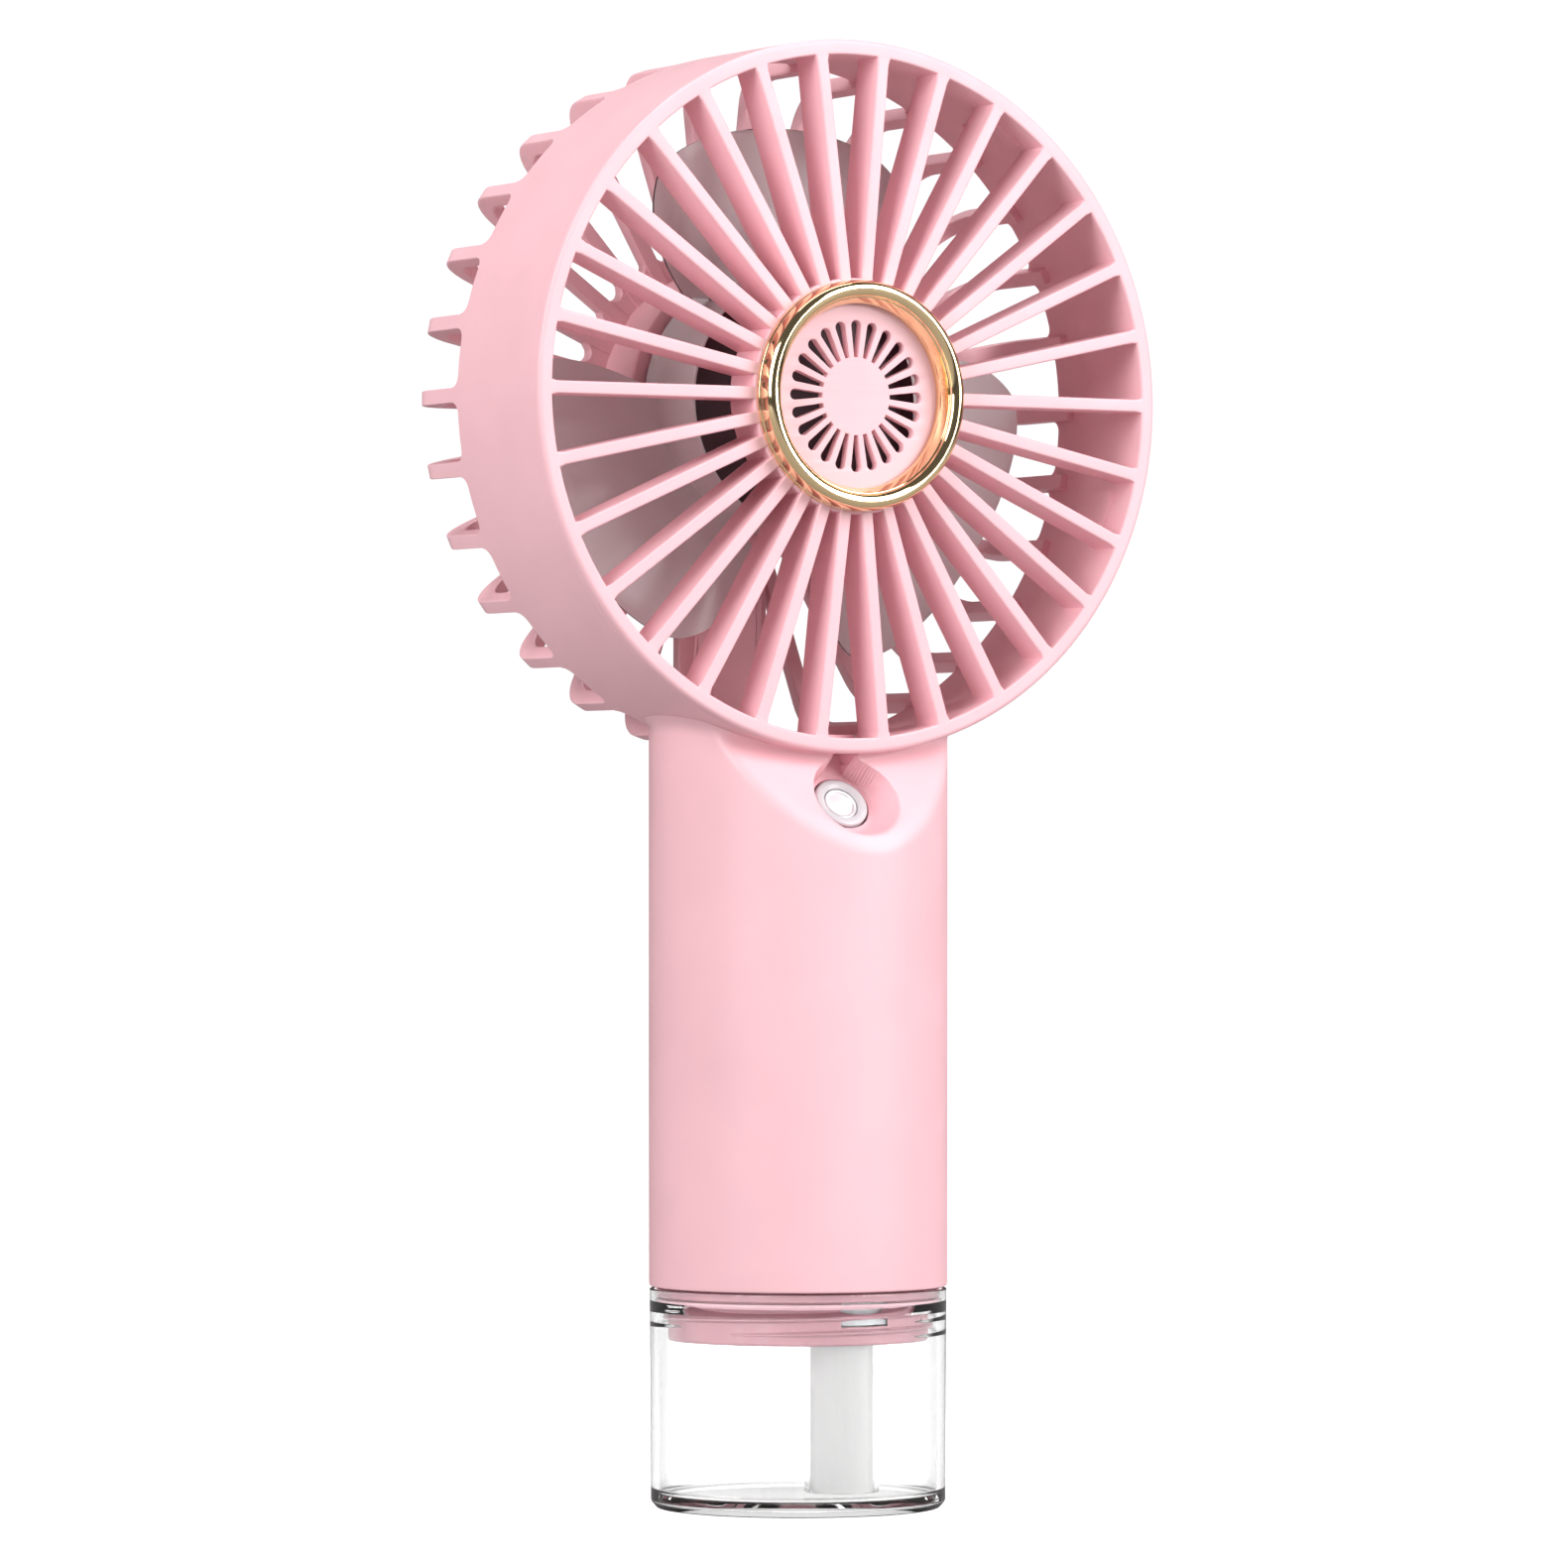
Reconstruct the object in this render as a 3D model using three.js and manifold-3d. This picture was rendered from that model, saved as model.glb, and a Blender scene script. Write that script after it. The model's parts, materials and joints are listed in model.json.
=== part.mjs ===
// Handheld misting fan that stands on its own screw-on water tank.
// Millimetres, +Z up, front towards -Y. The origin is the centre of the tank's flat base.
import * as THREE from "three";
import { mergeVertices } from "three/addons/utils/BufferGeometryUtils.js";
import Module from "manifold-3d";

const wasm = await Module();
wasm.setup();

// ---- driving dimensions ----
const GAP = 0.3; // clearance between pieces that touch
const FINE = 60; // facets round the head
const MEDIUM = 36; // facets round the handle and the tank
const ROUND = 24; // facets round the wick, the motor and the buttons
const SMALL = 12; // facets round pins and bushes

const HEAD_Z = 166.5; // height of the fan's axis
const HEAD_R = 53.2; // outside of the ring wall
const RIM_INNER_R = 50.9;
const WALL_T = 1.3;
const RIM_FRONT = -16.5; // Y of the front rim's face
const RIM_T = 1.6;
const WALL_REAR = 9.2;
const CAGE_REAR = 25;
const SPOKES = 30;
const SPOKE_W = 1.6;
const SKIRT_REAR = -1; // the rim's skirt reaches back to here inside the ring wall
const CLIPS = 5;
const CLIP_W = 6;
const RIB_W = 2.3;
const RIB_ELBOW_R = 6;
const RIB_FILLET = 4; // inside the elbow
const RIB_DEPTH = 2.4;
const PLATE_T = 2;
const HUB_R = 17.6;
const HUB_BACK = -10;
const HUB_T = 1.8;
const HUB_BORE_R = 12.4;
const HUB_SEAT = -17.4; // Y of the face that the trim ring and the vent disc sit on
const DISC_R = 14.2;
const SLOTS = 24;
const SLOT = { innerR: 5.7, outerR: 10.45, innerHalf: 0.32, outerHalf: 0.86 };
const TRIM_OUTER_R = 17.2;
const TRIM_INNER_R = 13.7;
const BOSS_R = 21.3;
const BOSS_FRONT = 13.6;
const BOSS_T = 1.2;
const BOSS_LIP_R = 17; // inside of the boss's front lip
const PLATE_R = 24.5;
const DUCT_X = 4.9; // half-width of the wire duct across the back of the cage
const DUCT_FRONT = 19.3;
const DUCT_REAR = CAGE_REAR - 2.6 - GAP;
const DUCT_T = 0.9;
const DUCT_LOW = HEAD_Z - HEAD_R + 5;
const DUCT_BACK_X = 7.6; // half-width of the solid strip that closes the duct

const CUP_R = 19.5; // impeller hub
const CUP_FRONT = -2.2;
const CUP_WEB = 0.8; // Y of the face inside the hub's front rim
const CUP_T = 1.3;
const CUP_REAR = 12.8;
const BLADES = 3;
const BLADE_ROOT_R = 15;
const BLADE_ROOT_HALF = 13; // half-width at the root
const PETAL_R = 32; // the blade is widest here, and rounded off beyond it
const PETAL_TIP = 9.9;
const PETAL_HALF = 23.4;
const PETAL_SKEW = -0.268; // sideways lean of the blade with radius
const BLADE_Y = 7.7;
const BLADE_SLOPE = -0.167;
const BLADE_FIRST = THREE.MathUtils.degToRad(88);
const BLADE_T = 1.1;

const MOTOR_R = 12;
const MOTOR_FRONT = 4;
const MOTOR_REAR = 18;
const SHAFT_R = 1;
const SCREW_R = 1;
const SCREW_HOLE_R = 1.35;
const SCREW_HEAD_R = 1.95;
const BUSH_R = 2.3;
const SCREW_X = 8.5; // the motor screws stand this far to either side of the shaft

const HANDLE_R = 22.5;
const SHELL_T = 1.6;
const HANDLE_Z = 33.3;
const HANDLE_TOP = 124; // before the saddle is cut to the head
const CHIN_Z = 100.2; // where the sloped chin leaves the front of the handle
const CHIN_TILT = THREE.MathUtils.degToRad(53.4); // its normal, from vertical towards the front

const NOZZLE = new THREE.Vector3(0, -12.7, 105.85);
const POCKET_DEPTH = 4.5;
const BEZEL_R = 4.25;

const TANK_R = 22.4;
const TANK_TOP = 33;
const TANK_BORE_R = 20.95;
const TANK_FLOOR = 2.2;
const TANK_LEDGE = 30.45; // the gasket rests on this step
const MOUTH_R = 21.7;
const NECK_R = 19.6;
const NECK_Z = 25.3;
const FLANGE_R = 21.3;
const FLANGE_Z = 31.8;
const PITCH = 2.2;
const THREAD_Z = NECK_Z + 1.62; // start of the neck's ridge
const NECK_CREST_R = 20.4;
const TANK_CREST_R = 20.05;
const THREAD_START = THREE.MathUtils.degToRad(-150); // angle from +X

const LUG_TURNS = 0.2; // the tank's thread is short lugs on one helix, two to each side
const LUG_STARTS = [-0.767, -0.267, 0.233, 0.733];

const WICK_Y = -12.8;
const WICK_R = 4.6;
const TUBE_R = 5.5;
const TUBE_T = 0.55;

const CELL_R = 9.2;
const CELL_Y = 2.7;
const CELL_Z = 44;
const CELL_LENGTH = 50;
const BOARD_Y = 14.3;
const BOARD_T = 1.2;
const POWER_Z = 88;
const MIST_Z = 72;
const LED_Z = 80;
const USB_Z = 50;
const BUTTON = { power: { r: 4.3, z: POWER_Z }, mist: { r: 3.5, z: MIST_Z } };

const ORIGIN_2D = new THREE.Vector2();

// ---- materials ----
function plastic(color, roughness = 0.45, metalness = 0) {
  return new THREE.MeshStandardMaterial({ color, roughness, metalness });
}
const PINK = plastic(0xfbd3da);
const DEEP_PINK = plastic(0xdca3b0);
const GOLD = plastic(0xe8c27a, 0.15, 1);
const WHITE = plastic(0xe4e2e2, 0.3);
const STEEL = plastic(0xb9bcc0, 0.35, 1);
const BRASS = plastic(0xb08d57, 0.35, 1);
const COPPER = plastic(0xb66a3c, 0.4, 1);
const MAGNET = plastic(0x3b3b3f, 0.6);
const RED = plastic(0xb3202a, 0.5);
const BLACK = plastic(0x18181a, 0.6);
const GREEN = plastic(0x1f5b3c, 0.5);
const WRAP = plastic(0x3f7fb0, 0.4);
const SILICONE = plastic(0xe9e9e6, 0.7);
const PINK_SILICONE = plastic(0xe0a8b4, 0.7);
const COTTON = plastic(0xf6f5f2, 0.95);
const CERAMIC = plastic(0xd9cfae, 0.6);
const CLEAR = new THREE.MeshStandardMaterial({
  color: 0xf4f8fa, roughness: 0.05, metalness: 0, transparent: true, opacity: 0.25,
});

// ---- solids ----

// A closed geometry as a manifold solid, with its faces turned outwards.
function solidOf(geometry) {
  const bare = geometry.clone();
  bare.deleteAttribute("normal");
  bare.deleteAttribute("uv");
  const merged = mergeVertices(bare, 1e-4);
  const points = merged.attributes.position;
  const kept = [];
  let volume = 0;
  const [a, b, c] = [new THREE.Vector3(), new THREE.Vector3(), new THREE.Vector3()];
  for (let i = 0; i < merged.index.count; i += 3) {
    const [p, q, r] = [0, 1, 2].map((k) => merged.index.getX(i + k));
    if (p === q || q === r || r === p) continue;
    kept.push([p, q, r]);
    a.fromBufferAttribute(points, p);
    b.fromBufferAttribute(points, q);
    c.fromBufferAttribute(points, r);
    volume += a.dot(b.cross(c));
  }
  const outward = volume > 0 ? kept : kept.map(([p, q, r]) => [p, r, q]);
  return new wasm.Manifold(new wasm.Mesh({
    numProp: 3,
    vertProperties: new Float32Array(points.array),
    triVerts: new Uint32Array(outward.flat()),
  }));
}

function geometryOf(solid) {
  const mesh = solid.getMesh();
  const geometry = new THREE.BufferGeometry();
  geometry.setAttribute("position", new THREE.BufferAttribute(mesh.vertProperties, 3));
  geometry.setIndex(new THREE.BufferAttribute(mesh.triVerts, 1));
  geometry.computeVertexNormals();
  return geometry;
}

function union(solids) {
  return solids.reduce((sum, next) => sum.add(next));
}

const fan = new THREE.Group();
// One named piece, from a closed geometry or a solid.
function piece(name, shape, material, parent = fan) {
  const solid = shape.isBufferGeometry ? solidOf(shape) : shape;
  const mesh = new THREE.Mesh(geometryOf(solid), material);
  mesh.name = name;
  parent.add(mesh);
}

// A closed outline of [radius, height] turned about the Y axis.
function turned(outline, facets) {
  const points = outline.map(([r, h]) => new THREE.Vector2(r, h));
  points.push(points[0].clone());
  return new THREE.LatheGeometry(points, facets);
}
// The same about the fan's axis, with heights as Y.
function turnedOnHead(outline, facets = FINE) {
  return turned(outline, facets).translate(0, 0, HEAD_Z);
}
// The same about a vertical axis, with heights as Z.
function turnedUpright(outline, facets = MEDIUM, x = 0, y = 0) {
  return turned(outline, facets).rotateX(Math.PI / 2).translate(x, y, 0);
}
function tubeOutline(inner, outer, low, high) {
  return [[inner, low], [outer, low], [outer, high], [inner, high]];
}
// A rod along Y from y0 to y1.
function rodY(r, y0, y1, x, z, facets = SMALL) {
  return new THREE.CylinderGeometry(r, r, y1 - y0, facets).translate(x, (y0 + y1) / 2, z);
}
// A rod along Z from z0 to z1.
function rodZ(r, z0, z1, x = 0, y = 0, facets = MEDIUM) {
  return new THREE.CylinderGeometry(r, r, z1 - z0, facets)
    .rotateX(Math.PI / 2)
    .translate(x, y, (z0 + z1) / 2);
}
function block(low, high) {
  const [x0, y0, z0] = low;
  const [x1, y1, z1] = high;
  return new THREE.BoxGeometry(x1 - x0, y1 - y0, z1 - z0)
    .translate((x0 + x1) / 2, (y0 + y1) / 2, (z0 + z1) / 2);
}
// An outline in the radius-Y plane, as a blade of the given width standing on the fan's axis.
function radialBlade(shape, width, angle) {
  return new THREE.ExtrudeGeometry(shape, { depth: width, bevelEnabled: false, curveSegments: 3 })
    .translate(0, 0, -width / 2)
    .rotateY(angle)
    .translate(0, 0, HEAD_Z);
}
function shapeOf(points) {
  return new THREE.Shape(points.map(([x, y]) => new THREE.Vector2(x, y)));
}
// A round wire through the given points.
function wire(points, radius) {
  const path = new THREE.CatmullRomCurve3(points.map((p) => new THREE.Vector3(...p)));
  const section = new THREE.Shape().absarc(0, 0, radius, 0, Math.PI * 2);
  return new THREE.ExtrudeGeometry(section, {
    steps: 3 * points.length, extrudePath: path, curveSegments: 3, bevelEnabled: false,
  });
}
// A trapezoid ridge wound as a right-hand helix, from zStart over the given turns.
// Its ends run out into the wall at rootR.
function threadRidge(rootR, crestR, zStart, turns, startAngle) {
  const sink = 0.3 * Math.sign(crestR - rootR);
  const steps = Math.round(turns * MEDIUM);
  const bar = new THREE.BoxGeometry(1, 1, 1, 1, steps, 1);
  const p = bar.attributes.position;
  for (let i = 0; i < p.count; i++) {
    const along = p.getY(i) + 0.5;
    const atCrest = p.getX(i) > 0;
    const runOut = Math.min(1, along * 12, (1 - along) * 12);
    const radius = atCrest ? rootR + (crestR - rootR) * (0.1 + 0.9 * runOut) : rootR - sink;
    const halfWidth = (atCrest ? 0.16 : 0.48) * (0.4 + 0.6 * runOut);
    const angle = startAngle + along * turns * Math.PI * 2;
    const z = zStart + along * turns * PITCH + 2 * p.getZ(i) * halfWidth;
    p.setXYZ(i, radius * Math.cos(angle), radius * Math.sin(angle), z);
  }
  return bar;
}

// ---- fan head ----

function rearRibShape() {
  const inner = HEAD_R - RIB_DEPTH;
  const front = CAGE_REAR - RIB_DEPTH - 0.2;
  const shape = new THREE.Shape();
  shape.moveTo(HEAD_R, WALL_REAR - 1);
  shape.lineTo(HEAD_R, CAGE_REAR - RIB_ELBOW_R);
  shape.absarc(HEAD_R - RIB_ELBOW_R, CAGE_REAR - RIB_ELBOW_R, RIB_ELBOW_R, 0, Math.PI / 2);
  shape.lineTo(BOSS_R - 1, CAGE_REAR);
  shape.lineTo(BOSS_R - 1, front);
  shape.lineTo(inner - RIB_FILLET, front);
  shape.lineTo(inner, front - RIB_FILLET);
  shape.lineTo(HEAD_R - WALL_T, WALL_REAR - 1);
  return shape;
}

function rearCage() {
  const wall = tubeOutline(HEAD_R - WALL_T, HEAD_R, RIM_FRONT + RIM_T + GAP, WALL_REAR);
  const plate = tubeOutline(0, PLATE_R, CAGE_REAR - PLATE_T, CAGE_REAR);
  const boss = tubeOutline(BOSS_R - BOSS_T, BOSS_R, BOSS_FRONT, CAGE_REAR - 1);
  const sleeve = tubeOutline(MOTOR_R + 0.4, MOTOR_R + 0.4 + BOSS_T, BOSS_FRONT, CAGE_REAR - 1);
  const lip = tubeOutline(BOSS_LIP_R, BOSS_R, BOSS_FRONT, BOSS_FRONT + BOSS_T);
  const solids = [solidOf(turnedOnHead(wall))];
  const rib = rearRibShape();
  for (let i = 0; i < SPOKES; i++) {
    solids.push(solidOf(radialBlade(rib, RIB_W, (i * 2 * Math.PI) / SPOKES)));
  }
  for (const outline of [plate, boss, lip]) solids.push(solidOf(turnedOnHead(outline, MEDIUM)));
  solids.push(solidOf(turnedOnHead(sleeve, ROUND)));
  const ductBack = block(
    [-DUCT_BACK_X, CAGE_REAR - PLATE_T, HEAD_Z - HEAD_R + 1],
    [DUCT_BACK_X, CAGE_REAR, HEAD_Z - PLATE_R + 2],
  );
  solids.push(solidOf(ductBack));
  const wireWay = block(
    [-DUCT_X, BOSS_FRONT + 3, HEAD_Z - PLATE_R],
    [DUCT_X, CAGE_REAR - PLATE_T - 0.2, HEAD_Z - MOTOR_R],
  );
  const ductWay = block(
    [-DUCT_X - GAP, DUCT_FRONT - GAP, DUCT_LOW - GAP],
    [DUCT_X + GAP, DUCT_REAR + GAP, HEAD_Z - PLATE_R],
  );
  let cage = union(solids).subtract(solidOf(wireWay)).subtract(solidOf(ductWay));
  for (const side of [-1, 1]) {
    const x = side * SCREW_X;
    const counterboreR = SCREW_HEAD_R + 0.35;
    cage = cage.subtract(solidOf(rodY(SCREW_HOLE_R, CAGE_REAR - 3, CAGE_REAR + 1, x, HEAD_Z)));
    cage = cage.subtract(solidOf(rodY(counterboreR, CAGE_REAR - 1.1, CAGE_REAR + 1, x, HEAD_Z)));
  }
  return cage;
}

function spokeShape() {
  const inR = HUB_R - 0.8;
  const outR = RIM_INNER_R + 0.6;
  return shapeOf([[inR, RIM_FRONT - 1.1], [outR, RIM_FRONT], [outR, HUB_BACK], [inR, HUB_BACK]]);
}

function frontGrille() {
  const rimBack = RIM_FRONT + RIM_T;
  const skirtR = HEAD_R - WALL_T - GAP;
  const rim = [
    [RIM_INNER_R, RIM_FRONT], [HEAD_R - 0.7, RIM_FRONT], [HEAD_R, RIM_FRONT + 0.7],
    [HEAD_R, rimBack], [skirtR, rimBack], [skirtR, SKIRT_REAR], [RIM_INNER_R, SKIRT_REAR],
  ];
  const hub = [
    [HUB_R, HUB_BACK], [HUB_R, HUB_SEAT], [DISC_R + GAP, HUB_SEAT], [DISC_R + GAP, HUB_SEAT + 1.9],
    [HUB_BORE_R, HUB_SEAT + 1.9], [HUB_BORE_R, HUB_SEAT + 3.2], [HUB_R - HUB_T, HUB_SEAT + 3.2],
    [HUB_R - HUB_T, HUB_BACK],
  ];
  const solids = [solidOf(turnedOnHead(rim)), solidOf(turnedOnHead(hub))];
  const spoke = spokeShape();
  for (let i = 0; i < SPOKES; i++) {
    solids.push(solidOf(radialBlade(spoke, SPOKE_W, (i * 2 * Math.PI) / SPOKES)));
  }
  const clip = shapeOf([
    [RIM_INNER_R - 0.9, -12], [RIM_INNER_R + 0.3, -12],
    [RIM_INNER_R + 0.3, SKIRT_REAR - 1], [RIM_INNER_R - 0.5, SKIRT_REAR - 1],
  ]);
  for (let i = 0; i < CLIPS; i++) {
    const angle = -Math.PI / 2 + (i * 2 * Math.PI) / CLIPS;
    solids.push(solidOf(radialBlade(clip, CLIP_W, angle)));
  }
  return union(solids);
}

// A radial slot that widens outwards and has a round outer end.
function ventSlot(angle) {
  const slot = new THREE.Path();
  const { innerR, outerR, innerHalf, outerHalf } = SLOT;
  slot.moveTo(innerR, -innerHalf);
  slot.lineTo(outerR, -outerHalf);
  slot.absarc(outerR, 0, outerHalf, -Math.PI / 2, Math.PI / 2);
  slot.lineTo(innerR, innerHalf);
  slot.closePath();
  return new THREE.Path(slot.getPoints(2).map((p) => p.clone().rotateAround(ORIGIN_2D, angle)));
}

function hubVentDisc() {
  const disc = new THREE.Shape().absarc(0, 0, DISC_R, 0, Math.PI * 2);
  for (let i = 0; i < SLOTS; i++) disc.holes.push(ventSlot((i * 2 * Math.PI) / SLOTS));
  return new THREE.ExtrudeGeometry(disc, { depth: 1.5, bevelEnabled: false, curveSegments: 18 })
    .rotateX(Math.PI / 2)
    .translate(0, HUB_SEAT + 1.6, HEAD_Z);
}

function goldTrimRing() {
  const back = HUB_SEAT - GAP;
  const outline = [
    [TRIM_INNER_R, back], [TRIM_OUTER_R, back], [TRIM_OUTER_R, back - 2.3],
    [TRIM_OUTER_R - 0.5, back - 3.0], [TRIM_OUTER_R - 1.5, back - 3.3],
    [TRIM_INNER_R + 1, back - 2.7], [TRIM_INNER_R, back - 1.6],
  ];
  return turnedOnHead(outline, MEDIUM);
}

// ---- impeller ----

// Radius and half-width of a blade at a share of the way from its root to its tip.
function petalAt(share) {
  const straight = 0.5;
  if (share < straight) {
    const t = share / straight;
    const narrowing = (PETAL_HALF - BLADE_ROOT_HALF) * (1 - t) ** 2;
    return [THREE.MathUtils.lerp(BLADE_ROOT_R, PETAL_R, t), PETAL_HALF - narrowing];
  }
  const turn = ((share - straight) / (1 - straight)) * (Math.PI / 2);
  return [PETAL_R + PETAL_TIP * Math.sin(turn), PETAL_HALF * Math.cos(turn)];
}

// One petal blade: a thin sheet with a rounded tip, pitched like a shallow screw.
function blade(middle) {
  const sheet = new THREE.BoxGeometry(1, 1, 1, 6, 1, 12);
  const p = sheet.attributes.position;
  for (let i = 0; i < p.count; i++) {
    const [along, half] = petalAt(p.getZ(i) + 0.5);
    const across = 2 * p.getX(i) * half + PETAL_SKEW * (along - PETAL_R);
    const y = BLADE_Y + BLADE_SLOPE * across + p.getY(i) * BLADE_T;
    p.setXYZ(i, along, y, across);
  }
  return sheet.rotateY(-middle).translate(0, 0, HEAD_Z);
}

function impeller() {
  const inR = CUP_R - CUP_T;
  const back = CUP_WEB + CUP_T;
  const cup = [
    [0, CUP_WEB], [inR, CUP_WEB], [inR, CUP_FRONT], [CUP_R, CUP_FRONT], [CUP_R, CUP_REAR],
    [inR, CUP_REAR], [inR, back], [3, back], [3, MOTOR_FRONT - 1.2],
    [SHAFT_R + GAP, MOTOR_FRONT - 1.2], [SHAFT_R + GAP, back - 0.2], [0, back - 0.2],
  ];
  const solids = [solidOf(turnedOnHead(cup, MEDIUM))];
  for (let i = 0; i < BLADES; i++) {
    solids.push(solidOf(blade(BLADE_FIRST + (i * 2 * Math.PI) / BLADES)));
  }
  const inside = solidOf(rodY(inR, back, CUP_REAR + 1, 0, HEAD_Z, MEDIUM));
  const bladesOnly = union(solids.slice(1)).subtract(inside);
  return solids[0].add(bladesOnly);
}

// ---- motor ----

function motorPieces() {
  const seatR = BUSH_R + GAP;
  const can = [
    [seatR, MOTOR_FRONT], [MOTOR_R, MOTOR_FRONT], [MOTOR_R, MOTOR_REAR],
    [MOTOR_R - 0.8, MOTOR_REAR], [MOTOR_R - 0.8, MOTOR_FRONT + 0.9], [seatR, MOTOR_FRONT + 0.9],
  ];
  piece("motor_can", turnedOnHead(can, ROUND), STEEL);
  const capFront = MOTOR_REAR + GAP;
  let cap = solidOf(turnedOnHead(tubeOutline(seatR, MOTOR_R, capFront, capFront + 1.6), ROUND));
  for (const side of [-1, 1]) {
    cap = cap.subtract(solidOf(rodY(SCREW_HOLE_R, capFront - 1, capFront + 3, side * SCREW_X, HEAD_Z)));
  }
  piece("motor_endcap", cap, BLACK);
  const bush = (y0, y1) => turnedOnHead(tubeOutline(SHAFT_R + GAP, BUSH_R, y0, y1), SMALL);
  piece("motor_bush_front", bush(MOTOR_FRONT - 0.2, MOTOR_FRONT + 1.6), BRASS);
  piece("motor_bush_rear", bush(capFront - 0.2, capFront + 1.6), BRASS);
  piece("motor_shaft", rodY(SHAFT_R, CUP_WEB + CUP_T + 0.1, capFront + 1.8, 0, HEAD_Z), STEEL);
  const rotorFront = MOTOR_FRONT + 2.6;
  const rotor = tubeOutline(SHAFT_R + GAP, 8.4, rotorFront, rotorFront + 8);
  let core = solidOf(turnedOnHead(rotor, ROUND));
  for (let i = 0; i < 3; i++) {
    const groove = block([-1.4, rotorFront - 1, 5.2], [1.4, rotorFront + 9, 9]);
    groove.rotateY((i * 2 * Math.PI) / 3).translate(0, 0, HEAD_Z);
    core = core.subtract(solidOf(groove));
  }
  piece("motor_rotor", core, COPPER);
  const commutator = tubeOutline(SHAFT_R + GAP, 2.9, rotorFront + 8.3, MOTOR_REAR - 0.3);
  piece("motor_commutator", turnedOnHead(commutator, SMALL), BRASS);
  for (const [name, side] of [["motor_magnet_left", -1], ["motor_magnet_right", 1]]) {
    const arc = new THREE.Shape();
    arc.absarc(0, 0, MOTOR_R - 1.1, -1.1, 1.1);
    arc.absarc(0, 0, 8.9, 1.1, -1.1, true);
    const magnet = new THREE.ExtrudeGeometry(arc, { depth: 9, bevelEnabled: false, curveSegments: 8 })
      .rotateX(Math.PI / 2)
      .translate(0, rotorFront + 8.5, 0)
      .rotateY(side < 0 ? Math.PI : 0)
      .translate(0, 0, HEAD_Z);
    piece(name, magnet, MAGNET);
  }
  for (const [name, side] of [["motor_screw_left", -1], ["motor_screw_right", 1]]) {
    const screw = [
      [0, capFront + 0.2], [SCREW_R, capFront + 0.2], [SCREW_R, CAGE_REAR - 0.8],
      [SCREW_HEAD_R, CAGE_REAR - 0.8], [SCREW_HEAD_R, CAGE_REAR - 0.1], [0, CAGE_REAR - 0.1],
    ];
    piece(name, turned(screw, SMALL).translate(side * SCREW_X, 0, HEAD_Z), STEEL);
  }
}

// ---- wiring between the handle and the head ----
// A channel that is open at the back, where the cage closes it.
function ductCover() {
  const high = HEAD_Z - BOSS_R - GAP;
  const outer = solidOf(block([-DUCT_X, DUCT_FRONT, DUCT_LOW], [DUCT_X, DUCT_REAR, high + 1]));
  const inX = DUCT_X - DUCT_T;
  const inner = solidOf(block([-inX, DUCT_FRONT + DUCT_T, DUCT_LOW - 1], [inX, DUCT_REAR + 1, high + 2]));
  const clearOfBoss = solidOf(rodY(BOSS_R + GAP, 10, 26, 0, HEAD_Z, FINE));
  return outer.subtract(inner).subtract(clearOfBoss);
}

function motorWires() {
  for (const [name, x, material] of [["motor_wire_red", -2, RED], ["motor_wire_black", 2, BLACK]]) {
    const inDuct = DUCT_FRONT + DUCT_T + 0.95;
    const route = [
      [x, BOARD_Y - 0.9, 98], [x, BOARD_Y + 0.5, 106], [x, 18, 112], [x, 20, 115], [x, inDuct, 118],
      [x, inDuct, 128], [x, inDuct, 140], [x, inDuct, 150], [x, inDuct - 0.4, HEAD_Z - MOTOR_R + 2.5],
    ];
    piece(name, wire(route, 0.55), material);
  }
}

// ---- handle ----

// Everything beyond the chin plane, shifted inwards by the given depth.
function beyondChin(depth) {
  const size = 80;
  const slab = new THREE.BoxGeometry(size, size, size)
    .translate(0, 0, size / 2 - depth)
    .rotateX(CHIN_TILT)
    .translate(0, -HANDLE_R, CHIN_Z);
  return solidOf(slab);
}

// Radius of the pocket's teardrop outline at an angle from the X axis, with the tip upwards.
function teardrop(angle) {
  const up = Math.max(0, Math.sin(angle));
  const tip = Math.pow(up, 30);
  return 7 + 1.1 * tip - 0.9 * Math.pow(up, 4) * (1 - tip);
}

// The scooped pocket round the nozzle, flaring from a round floor to the teardrop mouth.
function pocket(grow) {
  const drop = 2; // the mouth's centre lies below the nozzle's axis
  const top = POCKET_DEPTH + 2;
  const low = -grow;
  const geometry = new THREE.CylinderGeometry(1, 1, 1, 36, 4).rotateX(Math.PI / 2);
  const p = geometry.attributes.position;
  for (let i = 0; i < p.count; i++) {
    const length = Math.hypot(p.getX(i), p.getY(i));
    const angle = Math.atan2(p.getY(i), p.getX(i));
    const height = low + (p.getZ(i) + 0.5) * (top - low);
    const flare = Math.min(1, Math.max(0, height / POCKET_DEPTH));
    const radius = length * (grow + THREE.MathUtils.lerp(BEZEL_R + 0.7, teardrop(angle), Math.sqrt(flare)));
    p.setXYZ(i, radius * Math.cos(angle), radius * Math.sin(angle) - drop * flare, height);
  }
  return solidOf(geometry.rotateX(CHIN_TILT).translate(NOZZLE.x, NOZZLE.y, NOZZLE.z));
}

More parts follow.
